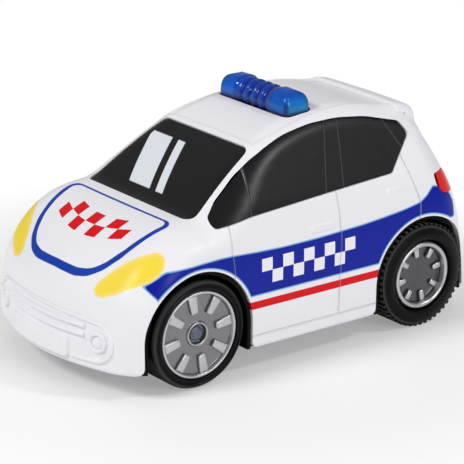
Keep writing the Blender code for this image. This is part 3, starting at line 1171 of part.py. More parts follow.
def chassis():
    """The black pan: floor, wheel wells, axle saddles, battery box, screw cups."""
    floor = plan_prism(plan_outline(SHELL_WALL + PAN_GAP), FLOOR_Z, FLOOR_TOP)
    pan = part("chassis", floor, BLACK_PLASTIC)
    wells = tool("wells", arches(LINER_RADIUS, WELL_BACK, BODY_HALF_WIDTH + PAST))
    join(pan, keep(wells, tool("core", body_core(LINER_SET_BACK))))
    wall_x, wall_y = BOX_HALF_X + BOX_WALL, BOX_HALF_Y + BOX_WALL
    join(pan, tool("battery_box", box(
        (-wall_x, BATTERY_MIDDLE_Y - wall_y, FLOOR_Z), (wall_x, BATTERY_MIDDLE_Y + wall_y, BOX_TOP_Z),
    )))
    tab = DOOR_TAB_HALF + CLEARANCE
    join(pan, tool("door_tab_box", box(
        (-tab - BOX_WALL, BATTERY_MIDDLE_Y, FLOOR_Z),
        (tab + BOX_WALL, DOOR_TAB_Y + CLEARANCE + BOX_WALL, DOOR_LEDGE_Z + BOX_WALL),
    )))
    low, high = DOOR_LEDGE_Z + 0.5 * MM, DOOR_LEDGE_Z + 8 * MM
    posts = [rod((0, DOOR_SCREW_Y, low), (0, DOOR_SCREW_Y, high), BOSS_RADIUS, 12)]
    saddles = []
    for side in SIDES.values():
        x = side * CLAMP_POST_X
        top = CLAMP_FOOT_Z - CLEARANCE
        posts.append(rod((x, CLAMP_POST_Y, FLOOR_Z + MM), (x, CLAMP_POST_Y, top), BOSS_RADIUS, 12))
        for y in (FRONT_AXLE_Y, REAR_AXLE_Y):
            x = side * SADDLE_X
            saddles.append(box(
                (x - SADDLE_WIDTH / 2, y - SADDLE_LENGTH / 2, FLOOR_Z + MM),
                (x + SADDLE_WIDTH / 2, y + SADDLE_LENGTH / 2, AXLE_Z),
            ))
    posts += [rod((x, y, FLOOR_Z + MM), (x, y, CUP_TOP_Z), CUP_RADIUS, 10) for x, y in floor_cups()]
    join(pan, tool("posts", together(*posts)), tool("saddles", together(*saddles)))
    ends = ((0, SPEAKER_Y, FLOOR_Z + MM), (0, SPEAKER_Y, FLOOR_TOP + 2.5 * MM))
    ring = tool("speaker_ring", rod(*ends, SPEAKER_RADIUS + SPEAKER_GAP + MM, 24))
    ends = ((0, SPEAKER_Y, FLOOR_TOP), (0, SPEAKER_Y, FLOOR_TOP + PAST))
    cut(ring, tool("speaker_room", rod(*ends, SPEAKER_RADIUS + SPEAKER_GAP, 24)))
    join(pan, ring)
    cradle = box(
        (MOTOR_FACE_X + 4 * MM, PINION_Y - MOTOR_RADIUS / 2, FLOOR_Z + MM),
        (MOTOR_FACE_X + 7 * MM, PINION_Y + MOTOR_RADIUS / 2, PINION_Z - MOTOR_FLAT_HALF - CLEARANCE),
    )
    second = cradle.copy()
    bmesh.ops.translate(second, verts=second.verts, vec=(10 * MM, 0, 0))
    join(pan, tool("motor_cradle", together(cradle, second)))
    cutters = [arches(LINER_RADIUS - LINER_WALL, WELL_FACE, BODY_HALF_WIDTH + PAST)]
    cutters.append(box(
        (-BOX_HALF_X, BATTERY_MIDDLE_Y - BOX_HALF_Y, FLOOR_Z - MM),
        (BOX_HALF_X, BATTERY_MIDDLE_Y + BOX_HALF_Y, BOX_CEILING_Z),
    ))
    cutters.append(box((-tab, BATTERY_MIDDLE_Y, FLOOR_Z - MM), (tab, DOOR_TAB_Y + CLEARANCE, DOOR_LEDGE_Z)))
    for y in (FRONT_AXLE_Y, REAR_AXLE_Y):
        across = ((-BODY_HALF_WIDTH, y, AXLE_Z), (BODY_HALF_WIDTH, y, AXLE_Z))
        cutters.append(rod(*across, AXLE_RADIUS + CLEARANCE, 12))
    top = DOOR_SCREW_SEAT_Z + SCREW_LENGTH + MM
    drills = [rod((0, DOOR_SCREW_Y, FLOOR_Z), (0, DOOR_SCREW_Y, top), SCREW_HOLE, 10)]
    for side in SIDES.values():
        x, foot = side * CLAMP_POST_X, CLAMP_FOOT_Z - SCREW_LENGTH
        top = CLAMP_FOOT_Z + MM
        drills.append(rod((x, CLAMP_POST_Y, foot), (x, CLAMP_POST_Y, top), SCREW_HOLE, 10))
    wide = []
    for x, y in floor_cups():
        drills.append(rod((x, y, CUP_TOP_Z - PAST), (x, y, CUP_TOP_Z + MM), SCREW_HOLE, 8))
        head = rod((x, y, FLOOR_Z - MM), (x, y, CUP_TOP_Z - CUP_WALL), HEAD_HOLE, 10)
        wide.append(head)
    for index in range(SOUND_HOLES):
        angle = 2 * math.pi * index / SOUND_HOLES
        x, y = SOUND_HOLE_CIRCLE * math.cos(angle), SPEAKER_Y + SOUND_HOLE_CIRCLE * math.sin(angle)
        wide.append(rod((x, y, FLOOR_Z - MM), (x, y, FLOOR_TOP + MM), SOUND_HOLE_RADIUS, 8))
    slot_x, slot_y = KNOB_LENGTH / 2 + KNOB_TRAVEL / 2 + CLEARANCE, KNOB_WIDTH / 2 + CLEARANCE
    cutters.append(box(
        (SWITCH_X - slot_x, SWITCH_Y - slot_y, FLOOR_Z - MM),
        (SWITCH_X + slot_x, SWITCH_Y + slot_y, FLOOR_TOP + MM),
    ))
    tools = [tool(f"pan_cut_{i}", bm) for i, bm in enumerate(cutters)]
    cut(pan, *tools, tool("drills", together(*drills)), tool("counterbores", together(*wide)))
    for index, (x, y) in enumerate(floor_cups()[2:], 1):
        screw(f"body_screw_{index}", (x, y, SCREW_SEAT_Z), 1)
    screw("door_screw", (0, DOOR_SCREW_Y, DOOR_SCREW_SEAT_Z), 1)


def plan_outline(inset):
    """The body's plan at the floor, inset from the skin."""
    half = BODY_HALF_WIDTH
    crosswise, lengthwise, _ = body_cells()
    across, along = sorted(crosswise), sorted(lengthwise)
    points = [(x, NOSE_Y, FLOOR_Z) for x in [-half] + across]
    points += [(half, y, FLOOR_Z) for y in [NOSE_Y] + along]
    points += [(x, TAIL_Y, FLOOR_Z) for x in [half] + across[::-1]]
    points += [(-half, y, FLOOR_Z) for y in [TAIL_Y] + along[::-1]]
    return [(x, y) for x, y, _ in skin_points(points, inset)]


def front_axle_clamp():
    """A beam over the front axle, with notched pads on the saddles."""
    reach = SADDLE_X + SADDLE_WIDTH / 2
    clamp = part("front_axle_clamp", box(
        (-reach, FRONT_AXLE_Y - SADDLE_LENGTH / 2, CLAMP_FOOT_Z),
        (reach, CLAMP_POST_Y + BOSS_RADIUS, CLAMP_FOOT_Z + CLAMP_WALL),
    ), BLACK_PLASTIC)
    for side in SIDES.values():
        x, pad = side * SADDLE_X, SADDLE_WIDTH / 2 - 0.1 * MM
        join(clamp, tool("clamp_pad", box(
            (x - pad, FRONT_AXLE_Y - SADDLE_LENGTH / 2 + 0.1 * MM, AXLE_Z + CLEARANCE),
            (x + pad, FRONT_AXLE_Y + SADDLE_LENGTH / 2, CLAMP_FOOT_Z + MM),
        )))
        x, top = side * CLAMP_POST_X, CLAMP_FOOT_Z + PAST
        hole = rod((x, CLAMP_POST_Y, CLAMP_FOOT_Z - MM), (x, CLAMP_POST_Y, top), SCREW_HOLE, 10)
        cut(clamp, tool("clamp_hole", hole))
    across = ((-BODY_HALF_WIDTH, FRONT_AXLE_Y, AXLE_Z), (BODY_HALF_WIDTH, FRONT_AXLE_Y, AXLE_Z))
    cut(clamp, tool("clamp_notch", rod(*across, AXLE_RADIUS + CLEARANCE, 12)))
    for name, side in SIDES.items():
        seat = CLAMP_FOOT_Z + CLAMP_WALL + CLEARANCE
        screw(f"clamp_screw_{name}", (side * CLAMP_POST_X, CLAMP_POST_Y, seat), -1)


def batteries():
    """Three cells, laid by turns, the contacts at their ends, and the door."""
    half = BATTERY_LENGTH / 2
    names = ("front", "middle", "rear")
    for index, name in enumerate(names):
        y = BATTERY_MIDDLE_Y + (index - 1) * BATTERY_PITCH
        profile = [
            (0, half), (BATTERY_NIPPLE_RADIUS, half), (BATTERY_NIPPLE_RADIUS, half - BATTERY_NIPPLE),
            (BATTERY_RADIUS, half - BATTERY_NIPPLE), (BATTERY_RADIUS, -half), (0, -half),
        ]
        turn = (0, math.pi / 2 if index % 2 else -math.pi / 2, 0)
        turned(f"battery_{name}", profile, CELL_GREY, (0, y, BATTERY_Z), turn, 14)
    for name, side in SIDES.items():
        outer_x = BOX_HALF_X - CLEARANCE
        sheet_x = outer_x - CONTACT_SHEET
        ends = sorted((side * sheet_x, side * outer_x))
        sheet = part(f"battery_contact_{name}", box(
            (ends[0], BATTERY_MIDDLE_Y - BOX_HALF_Y + CLEARANCE, BATTERY_Z - BATTERY_RADIUS + MM),
            (ends[1], BATTERY_MIDDLE_Y + BOX_HALF_Y - CLEARANCE, BATTERY_Z + BATTERY_RADIUS - MM),
        ), STEEL)
        cones = []
        for index in range(BATTERY_COUNT):
            y = BATTERY_MIDDLE_Y + (index - 1) * BATTERY_PITCH
            start = (side * (sheet_x + CONTACT_SHEET / 2), y, BATTERY_Z)
            cones.append(rod(start, (side * (half + CLEARANCE), y, BATTERY_Z), 3.2 * MM, 8, 2.0 * MM))
        join(sheet, tool("contact_cones", together(*cones)))
    plate = box(
        (-BOX_HALF_X + CLEARANCE, BATTERY_MIDDLE_Y - BOX_HALF_Y + CLEARANCE, FLOOR_Z),
        (BOX_HALF_X - CLEARANCE, BATTERY_MIDDLE_Y + BOX_HALF_Y - CLEARANCE, FLOOR_Z + DOOR_WALL),
    )
    door = part("battery_door", plate, BLACK_PLASTIC)
    tab_low = BATTERY_MIDDLE_Y + BOX_HALF_Y + CLEARANCE
    join(door, tool("door_tab", box(
        (-DOOR_TAB_HALF, tab_low - 2 * MM, FLOOR_Z), (DOOR_TAB_HALF, DOOR_TAB_Y, FLOOR_Z + DOOR_WALL),
    )), tool("door_tab_block", box(
        (-DOOR_TAB_HALF, tab_low, FLOOR_Z), (DOOR_TAB_HALF, DOOR_TAB_Y, FLOOR_Z + DOOR_TAB_HEIGHT),
    )))
    top = DOOR_SCREW_SEAT_Z + CLEARANCE
    head = rod((0, DOOR_SCREW_Y, FLOOR_Z - MM), (0, DOOR_SCREW_Y, top), HEAD_HOLE, 10)
    shank = rod((0, DOOR_SCREW_Y, FLOOR_Z), (0, DOOR_SCREW_Y, FLOOR_Z + PAST), SCREW_HOLE, 10)
    cut(door, tool("door_head", head), tool("door_shank", shank))


def light_bar():
    """The beacon: rounded ends over a lower ribbed middle, hollow inside."""
    half = BAR_LENGTH / 2
    bar = box(
        (-BAR_HALF_WIDTH, BAR_MIDDLE_Y - half, BAR_FOOT_Z),
        (BAR_HALF_WIDTH, BAR_MIDDLE_Y + half, BAR_TOP_Z),
    )
    upright = [edge for edge in bar.edges if abs(edge.verts[0].co.z - edge.verts[1].co.z) > MM]
    bmesh.ops.bevel(bar, geom=upright, offset=BAR_CORNER, segments=4, profile=0.5, affect="EDGES")
    rim = [edge for edge in bar.edges if all(v.co.z > BAR_TOP_Z - 0.1 * MM for v in edge.verts)]
    bmesh.ops.bevel(bar, geom=rim, offset=BAR_ROUND, segments=2, profile=0.5, affect="EDGES")
    place = (0, BAR_MIDDLE_Y, BAR_FOOT_Z)
    bmesh.ops.translate(bar, verts=bar.verts, vec=-Vector(place))
    beacon = part("light_bar", bar, BEACON_BLUE, place)
    waist_x, waist_z = BAR_HALF_WIDTH - BAR_END, BAR_TOP_Z - BAR_WAIST
    trench = rounded([
        (-waist_x, waist_z, MM), (waist_x, waist_z, MM),
        (waist_x + BAR_TRENCH_SLOPE, BAR_TOP_Z + MM, 0),
        (-waist_x - BAR_TRENCH_SLOPE, BAR_TOP_Z + MM, 0),
    ])
    trench = prism(trench, (0, BAR_MIDDLE_Y, 0), (1, 0, 0), (0, 0, 1), -PAST, PAST)
    cut(beacon, tool("bar_waist", trench))
    ribs = []
    for index in range(BAR_RIBS):
        x = (index - (BAR_RIBS - 1) / 2) * BAR_RIB_PITCH
        reach = half - 2.0 * MM
        z = waist_z - BAR_RIB_RADIUS + 0.9 * MM
        ribs.append(rod((x, BAR_MIDDLE_Y - reach, z), (x, BAR_MIDDLE_Y + reach, z), BAR_RIB_RADIUS, 12))
    join(beacon, tool("bar_ribs", together(*ribs)))
    flange = plan_prism(grown(bar_outline(), BAR_FLANGE), BAR_FOOT_Z, BAR_SEAT_Z)
    join(beacon, tool("bar_flange", flange))
    stem = rod((0, BAR_MIDDLE_Y, STEM_FOOT_Z), (0, BAR_MIDDLE_Y, BAR_SEAT_Z), PUCK_RADIUS, 20)
    join(beacon, tool("bar_stem", stem))
    rooms = []
    for side in SIDES.values():
        ends = sorted((side * BAR_CORE_HALF, side * (BAR_HALF_WIDTH - BAR_WALL)))
        room = box(
            (ends[0], BAR_MIDDLE_Y - half + BAR_WALL, BAR_FOOT_Z - MM),
            (ends[1], BAR_MIDDLE_Y + half - BAR_WALL, waist_z - BAR_ROOF_WALL),
        )
        rooms.append(room)
    cut(beacon, tool("bar_rooms", together(*rooms)))
    puck = rod((0, BAR_MIDDLE_Y, PUCK_FOOT_Z), (0, BAR_MIDDLE_Y, PUCK_FOOT_Z + PUCK_WALL), PUCK_RADIUS, 20)
    part("contact_puck", puck, PUCK_BLACK)


def light_bar_spring():
    """The coil that lifts the light bar, round its stem."""
    low = BOARD_TOP_Z + CLEARANCE + SPRING_WIRE
    high = BAR_FOOT_Z - CLEARANCE - SPRING_WIRE
    per_turn = 8
    points = SPRING_TURNS * per_turn + 1
    curve = bpy.data.curves.new("light_bar_spring", "CURVE")
    curve.dimensions = "3D"
    curve.bevel_depth = SPRING_WIRE
    curve.bevel_resolution = 1
    curve.use_fill_caps = True
    spline = curve.splines.new("POLY")
    spline.points.add(points - 1)
    for index in range(points):
        angle = 2 * math.pi * index / per_turn
        x, y = SPRING_RADIUS * math.cos(angle), BAR_MIDDLE_Y + SPRING_RADIUS * math.sin(angle)
        z = low + (high - low) * index / (points - 1)
        spline.points[index].co = (x, y, z, 1)
    made = bpy.data.objects.new("light_bar_spring", curve)
    curve.materials.append(finish("light_bar_spring", *STEEL))
    PARTS.objects.link(made)


def light_mount():
    """The carrier screwed under the roof, its board and two lamps."""
    carrier = part("light_carrier", box(
        (-CARRIER_HALF_WIDTH, BAR_MIDDLE_Y - CARRIER_HALF_LENGTH, CARRIER_FOOT_Z),
        (CARRIER_HALF_WIDTH, BAR_MIDDLE_Y + CARRIER_HALF_LENGTH, CARRIER_TOP_Z),
    ), BLACK_PLASTIC)
    holes = []
    for name, end in (("front", -1), ("rear", 1)):
        y = BAR_MIDDLE_Y + end * POST_REACH
        holes.append(rod((0, y, CARRIER_FOOT_Z - MM), (0, y, CARRIER_TOP_Z + MM), SCREW_HOLE, 10))
        screw(f"carrier_screw_{name}", (0, y, CARRIER_FOOT_Z - CLEARANCE), 1)
    cut(carrier, tool("carrier_holes", together(*holes)))
    board_half = BAR_LENGTH / 2 + 0.5 * MM
    part("light_board", box(
        (-CARRIER_HALF_WIDTH + 2 * MM, BAR_MIDDLE_Y - board_half, BOARD_TOP_Z - BOARD_WALL),
        (CARRIER_HALF_WIDTH - 2 * MM, BAR_MIDDLE_Y + board_half, BOARD_TOP_Z),
    ), BOARD_GREEN)
    for name, side in SIDES.items():
        profile = [
            (0, LED_HEIGHT), (0.6 * LED_RADIUS, LED_HEIGHT - 0.4 * MM), (LED_RADIUS, LED_HEIGHT - 1.4 * MM),
            (LED_RADIUS, 1.0 * MM), (LED_RADIUS + 0.3 * MM, 1.0 * MM), (LED_RADIUS + 0.3 * MM, 0), (0, 0),
        ]
        place = (side * LED_X, BAR_MIDDLE_Y, BOARD_TOP_Z + CLEARANCE)
        turned(f"light_led_{name}", profile, LED_CLEAR, place, steps=8)


def sound():
    """The sound board on the battery box, and the speaker over its holes."""
    low = BOX_TOP_Z + CLEARANCE
    y = BATTERY_MIDDLE_Y
    board = part("sound_board", box(
        (-SOUND_BOARD_HALF, y - SOUND_BOARD_LENGTH / 2, low),
        (SOUND_BOARD_HALF, y + SOUND_BOARD_LENGTH / 2, low + BOARD_WALL),
    ), BOARD_GREEN)
    top = low + BOARD_WALL / 2
    chips = [
        rod((-6 * MM, y, top), (-6 * MM, y, top + 2.2 * MM), 5 * MM, 12, 3.5 * MM),
        rod((9 * MM, y + 5 * MM, top), (9 * MM, y + 5 * MM, top + 6 * MM), 2.5 * MM, 10),
        rod((9 * MM, y - 5 * MM, top), (9 * MM, y - 5 * MM, top + 5 * MM), 2.0 * MM, 10),
    ]
    join(board, tool("chips", together(*chips)))
    h, r = SPEAKER_HEIGHT, SPEAKER_RADIUS
    profile = [
        (0, h), (0.5 * r, h), (0.5 * r, 0.55 * h), (r - MM, 1.8 * MM), (r, 1.8 * MM), (r, 0),
        (r - 1.5 * MM, 0), (0.35 * r, 1.2 * MM), (0, 0.7 * MM),
    ]
    turned("speaker", profile, STEEL, (0, SPEAKER_Y, FLOOR_TOP + CLEARANCE), steps=14)


def switch():
    """The slide switch on the floor, with its knob at the off end."""
    low = FLOOR_TOP + CLEARANCE
    case = part("switch_case", box(
        (SWITCH_X - SWITCH_HALF, SWITCH_Y - SWITCH_WIDTH / 2, low),
        (SWITCH_X + SWITCH_HALF, SWITCH_Y + SWITCH_WIDTH / 2, low + SWITCH_HEIGHT),
    ), STEEL)
    slot_x, slot_y = KNOB_LENGTH / 2 + KNOB_TRAVEL / 2 + CLEARANCE, KNOB_WIDTH / 2 + CLEARANCE
    room_z = low + 0.6 * SWITCH_HEIGHT
    cut(case, tool("switch_room", box(
        (SWITCH_X - slot_x, SWITCH_Y - slot_y, low - MM), (SWITCH_X + slot_x, SWITCH_Y + slot_y, room_z),
    )))
    x = SWITCH_X - KNOB_TRAVEL / 2
    knob = part("switch_knob", box(
        (-KNOB_LENGTH / 2, -KNOB_WIDTH / 2, FLOOR_Z - KNOB_DROP),
        (KNOB_LENGTH / 2, KNOB_WIDTH / 2, room_z - CLEARANCE),
    ), BLACK_PLASTIC, (x, SWITCH_Y, 0))
    grooves = []
    for index in (-1, 0, 1):
        middle = x + index * 1.3 * MM
        grooves.append(box(
            (middle - 0.3 * MM, SWITCH_Y - PAST, FLOOR_Z - KNOB_DROP - MM),
            (middle + 0.3 * MM, SWITCH_Y + PAST, FLOOR_Z - KNOB_DROP + 0.5 * MM),
        ))
    cut(knob, tool("knob_grooves", together(*grooves)))


def main():
    for old in list(bpy.data.objects):
        bpy.data.objects.remove(old, do_unlink=True)
    for collection in (PARTS, CUTTERS):
        bpy.context.scene.collection.children.link(collection)
    body_shell()
    panels()
    chassis()
    front_axle_clamp()
    axles()
    for name, side in SIDES.items():
        front_wheel(name, side)
        rear_wheel(name, side)
    gears()
    gearbox()
    motor()
    batteries()
    light_bar()
    light_bar_spring()
    light_mount()
    sound()
    switch()


main()
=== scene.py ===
# %% [markdown]
# # A toy patrol car
# White moulded body on a black pan, a press-down light bar, four wheels.
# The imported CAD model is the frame: each dressed piece here stands for the
# node of the same part, and rides on the same body.

import math

import bmesh
import bpy
import numpy as np
from mathutils import Matrix, Vector


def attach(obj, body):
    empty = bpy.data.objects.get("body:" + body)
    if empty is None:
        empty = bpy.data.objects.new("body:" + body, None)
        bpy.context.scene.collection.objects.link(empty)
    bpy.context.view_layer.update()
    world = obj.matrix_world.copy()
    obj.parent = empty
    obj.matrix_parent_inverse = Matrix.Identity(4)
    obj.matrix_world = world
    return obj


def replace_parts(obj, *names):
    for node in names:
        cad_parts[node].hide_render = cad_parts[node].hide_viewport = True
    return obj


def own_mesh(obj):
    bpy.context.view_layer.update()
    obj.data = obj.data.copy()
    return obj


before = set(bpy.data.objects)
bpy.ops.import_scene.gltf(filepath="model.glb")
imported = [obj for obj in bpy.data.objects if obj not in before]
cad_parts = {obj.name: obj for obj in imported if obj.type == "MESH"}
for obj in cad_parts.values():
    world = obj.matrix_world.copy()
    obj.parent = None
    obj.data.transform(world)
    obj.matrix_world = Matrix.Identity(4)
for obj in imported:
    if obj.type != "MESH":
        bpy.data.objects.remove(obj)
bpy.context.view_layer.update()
MM = 0.001

# %% [markdown]
# ## The body's form
# The shell of such a toy is one moulding, drawn from a side profile, a plan
# and a cross section that melt into each other. A distance function says how
# far a point lies outside that form, so that a grid of points can be thrown
# onto it as finely as a highlight needs. The same form drives the CAD.

# %% Sizes that the dressing needs
LENGTH = 167.5 * MM
NOSE_Y = 0.417 * MM - LENGTH / 2
TAIL_Y = 0.417 * MM + LENGTH / 2
FRONT_AXLE_Y = NOSE_Y + 37.5 * MM
REAR_AXLE_Y = FRONT_AXLE_Y + 100 * MM
WHEEL_RADIUS = 19.3 * MM
ARCH_RADIUS = 22.3 * MM
HALF_WIDTH = 43 * MM
FLOOR_Z = 9.1 * MM
HOOD_CREST_Y = FRONT_AXLE_Y + 6 * MM
HOOD_CREST_Z = 55.8 * MM
HOOD_RADIUS = 46 * MM
SCREEN_FOOT_Y = FRONT_AXLE_Y + 4.4 * MM
SCREEN_RAKE = math.radians(33.5)
ROOF_CREST_Y = REAR_AXLE_Y - 30 * MM
ROOF_CREST_Z = 82.1 * MM
ROOF_RADIUS = 90 * MM
SPOILER_CREASE_Y = REAR_AXLE_Y - 4.2 * MM
SPOILER_TIP_Y = REAR_AXLE_Y + 12 * MM
SPOILER_SLOPE = math.radians(10.4)
TAILGATE_LEAN = math.radians(34)
TAIL_LEAN = math.radians(11.6)
BELT_Z = 56 * MM
BELT_HALF = 39 * MM
TUMBLEHOME = math.radians(31)
SPINE_Z = 24 * MM
WALL = 2 * MM


# %% How far a point lies outside the form
def smooth_max(a, b, blend):
    near = np.maximum(blend - np.abs(a - b), 0) / blend
    return np.maximum(a, b) + near * near * blend / 4


def ramp(value, low, high):
    share = np.clip((value - low) / (high - low), 0, 1)
    return share * share * (3 - 2 * share)


def roof_height(y):
    return ROOF_CREST_Z - ROOF_RADIUS + np.sqrt(ROOF_RADIUS**2 - (y - ROOF_CREST_Y) ** 2)


def spoiler_distance(y, z):
    top = (z - roof_height(SPOILER_CREASE_Y)) * math.cos(SPOILER_SLOPE)
    top += (y - SPOILER_CREASE_Y) * math.sin(SPOILER_SLOPE)
    ends = np.maximum(y - SPOILER_TIP_Y, SPOILER_CREASE_Y - y)
    return np.maximum(np.maximum(top, ends), -top - 3.2 * MM)


def profile_distance(y, z):
    crest = z - HOOD_CREST_Z
    arc = np.hypot(y - HOOD_CREST_Y, crest + HOOD_RADIUS) - HOOD_RADIUS
    lower = smooth_max(np.where(y < HOOD_CREST_Y, arc, crest), NOSE_Y - y, 5 * MM)
    screen = crest * math.cos(SCREEN_RAKE) - (y - SCREEN_FOOT_Y) * math.sin(SCREEN_RAKE)
    roof = np.hypot(y - ROOF_CREST_Y, z - ROOF_CREST_Z + ROOF_RADIUS) - ROOF_RADIUS
    body = -smooth_max(-lower, -smooth_max(screen, roof, 3 * MM), 2.5 * MM)
    tail = (y - TAIL_Y) * math.cos(TAIL_LEAN) + (z - 18 * MM) * math.sin(TAIL_LEAN)
    gate = (y - TAIL_Y + 35.5 * MM * math.tan(TAIL_LEAN)) * math.cos(TAILGATE_LEAN)
    gate += (z - 53.5 * MM) * math.sin(TAILGATE_LEAN)
    back = smooth_max(smooth_max(tail, gate, 6 * MM), y - TAIL_Y, 4 * MM)
    return np.minimum(smooth_max(body, back, 2 * MM), spoiler_distance(y, z))


def bowed(x, y):
    nose_share = 1 - ramp(y, NOSE_Y, HOOD_CREST_Y)
    tail_share = ramp(y, REAR_AXLE_Y - WHEEL_RADIUS, TAIL_Y - 20 * MM)
    return y - nose_share * x**2 / (156 * MM) + tail_share * x**2 / (346 * MM)


def body_distance(x, y, z):
    glass = np.abs(x) - BELT_HALF + (z - BELT_Z) * math.tan(TUMBLEHOME)
    side = smooth_max(np.abs(x) - HALF_WIDTH, glass * math.cos(TUMBLEHOME), 6 * MM)
    profile = profile_distance(bowed(x, y), z)
    corner = 11 * MM - 5 * MM * ramp(z, 54 * MM, 74 * MM)
    edge = np.hypot(np.maximum(side + corner, 0), np.maximum(profile + corner, 0))
    return np.minimum(-corner, np.maximum(side, profile)) + edge


# %% Throw points onto the form, and find which way it faces there
MARCH = 60


def halved(spine, way, near, far, times, outside):
    """The point on each way where the outside begins, between near and far."""
    for _ in range(times):
        middle = (near + far) / 2
        out = outside(*(spine + way * middle[:, None]).T)
        far, near = np.where(out, middle, far), np.where(out, near, middle)
    return spine + way * ((near + far) / 2)[:, None]


def skin_points(points, inset=0.0):
    points = np.asarray(points, float)
    spine = np.zeros_like(points)
    spine[:, 1] = np.clip(points[:, 1], NOSE_Y + 18 * MM, TAIL_Y - 22 * MM)
    spine[:, 2] = np.minimum(points[:, 2], SPINE_Z)
    way = points - spine
    start = np.linalg.norm(way, axis=1)
    way /= start[:, None]
    far = start * 1.1 + 8 * MM
    step = far / MARCH
    found = np.zeros(len(points), bool)
    for _ in range(MARCH - 1):
        inside = body_distance(*(spine + way * (far - step)[:, None]).T) <= -inset
        found |= inside
        far = np.where(found, far, far - step)
    return halved(spine, way, far - step, far, 16, lambda *place: body_distance(*place) > -inset)


def skin_normals(points):
    step = 0.05 * MM
    gradient = np.empty_like(points)
    for axis in range(3):
        offset = np.zeros(3)
        offset[axis] = step
        gradient[:, axis] = body_distance(*(points + offset).T) - body_distance(*(points - offset).T)
    return gradient / np.linalg.norm(gradient, axis=1)[:, None]


# %% [markdown]
# ## Outlines
# Windows, lamps and printed areas are outlines in a plane. Rounded corners make them look moulded, and a
# signed distance from the outline lets both the relief and the print end on a clean edge. Their corners
# were listed from the photograph, and put on the form with the camera at the end of this file.

# %% Outlines and distances from them
def rounded(corners, steps=5):
    points = []
    for index, (u, v, radius) in enumerate(corners):
        corner = Vector((u, v))
        before = Vector(corners[index - 1][:2]) - corner
        after = Vector(corners[(index + 1) % len(corners)][:2]) - corner
        half = before.angle(after) / 2
        reach = min(radius / math.tan(half), 0.49 * before.length, 0.49 * after.length)
        arc_radius = reach * math.tan(half)
        inward = (before.normalized() + after.normalized()).normalized()
        centre = corner + inward * arc_radius / math.sin(half)
        start = corner + before.normalized() * reach - centre
        sweep = start.angle_signed(corner + after.normalized() * reach - centre)
        for step in range(steps + 1):
            spoke = start.copy()
            spoke.rotate(Matrix.Rotation(-sweep * step / steps, 2))
            points.append(tuple(centre + spoke))
    return points


def outline_distance(u, v, outline):
    """Signed distance from a closed outline, negative inside it."""
    best, inside = np.full(len(u), 1e9), np.zeros(len(u), bool)
    for (u1, v1), (u2, v2) in zip(outline, outline[1:] + outline[:1]):
        du, dv = u2 - u1, v2 - v1
        along = np.clip(((u - u1) * du + (v - v1) * dv) / (du * du + dv * dv), 0, 1)
        best = np.minimum(best, np.hypot(u - u1 - along * du, v - v1 - along * dv))
        crosses = (v1 > v) != (v2 > v)
        with np.errstate(divide="ignore", invalid="ignore"):
            inside ^= crosses & (u < (v - v1) * du / dv + u1)
    return np.where(inside, -best, best)


def bar_distance(u, v, half_u, half_v, corner):
    """Signed distance from a bar with round corners, centred on zero."""
    over_u, over_v = np.abs(u) - half_u + corner, np.abs(v) - half_v + corner
    outer = np.hypot(np.maximum(over_u, 0), np.maximum(over_v, 0))
    return outer + np.minimum(np.maximum(over_u, over_v), 0) - corner


def grown(outline, distance):
    area = sum(a[0] * b[1] - a[1] * b[0] for a, b in zip(outline, outline[1:] + outline[:1]))
    side = 1 if area > 0 else -1
    moved = []
    for before, here, after in zip(outline[-1:] + outline[:-1], outline, outline[1:] + outline[:1]):
        into = (Vector(here) - Vector(before)).normalized()
        out = (Vector(after) - Vector(here)).normalized()
        normals = Vector((into.y, -into.x)) + Vector((out.y, -out.x))
        bend = max(0.5, normals.length / 2)
        moved.append(tuple(Vector(here) + normals.normalized() * side * distance / bend))
    return moved


# %% Outlines of the windows and lamps, in metres
def screen_outline(foot_half, head_half, height):
    corner = 3 * MM
    return rounded([
        (-foot_half, 0, corner), (foot_half, 0, corner),
        (head_half, height, corner), (-head_half, height, corner),
    ])


WINDSCREEN = [(u, v - 2 * MM) for u, v in screen_outline(30.1 * MM, 24.1 * MM, 35.4 * MM)]
REAR_SCREEN = screen_outline(25 * MM, 20.5 * MM, 15 * MM)
SIDE_WINDOW = rounded([
    (FRONT_AXLE_Y + u * MM, v * MM, radius * MM)
    for u, v, radius in (
        (10.0, 53.2, 1.5), (24.0, 55.4, 30), (57.0, 57.2, 60), (88.6, 58.7, 2),
        (101.2, 69.6, 2), (98.6, 73.9, 2.5), (84.5, 77.5, 40), (72.0, 78.9, 60), (60.0, 78.7, 60),
        (47.0, 76.9, 60), (36.0, 73.2, 50), (24.5, 67.0, 40), (15.0, 60.4, 25), (9.8, 55.8, 2.5),
    )
])
TAIL_LAMP = rounded([
    (-6.0 * MM, 55.2 * MM, 1.2 * MM), (-7.3 * MM, 51.4 * MM, 3.0 * MM), (-5.4 * MM, 48.0 * MM, 2.5 * MM),
    (9.0 * MM, 47.2 * MM, 2.0 * MM), (8.0 * MM, 53.6 * MM, 2.5 * MM), (0.5 * MM, 55.2 * MM, 4.0 * MM),
])
BAR_MIDDLE_Y = FRONT_AXLE_Y + 60 * MM
BAR_HALF_X, BAR_HALF_Y, BAR_CORNER = 19.6 * MM, 6.0 * MM, 2.6 * MM
BAR_OUTLINE = rounded([
    (side * BAR_HALF_X, BAR_MIDDLE_Y + end * BAR_HALF_Y, BAR_CORNER)
    for side, end in ((-1, -1), (1, -1), (1, 1), (-1, 1))
])


# %% The planes that the outlines lie in: a place, across, up
def windscreen_frame():
    up = Vector((0, math.cos(SCREEN_RAKE), math.sin(SCREEN_RAKE)))
    foot_z = HOOD_CREST_Z + 1.2 * MM * math.tan(SCREEN_RAKE)
    return Vector((0, SCREEN_FOOT_Y + 1.2 * MM, foot_z)), Vector((1, 0, 0)), up


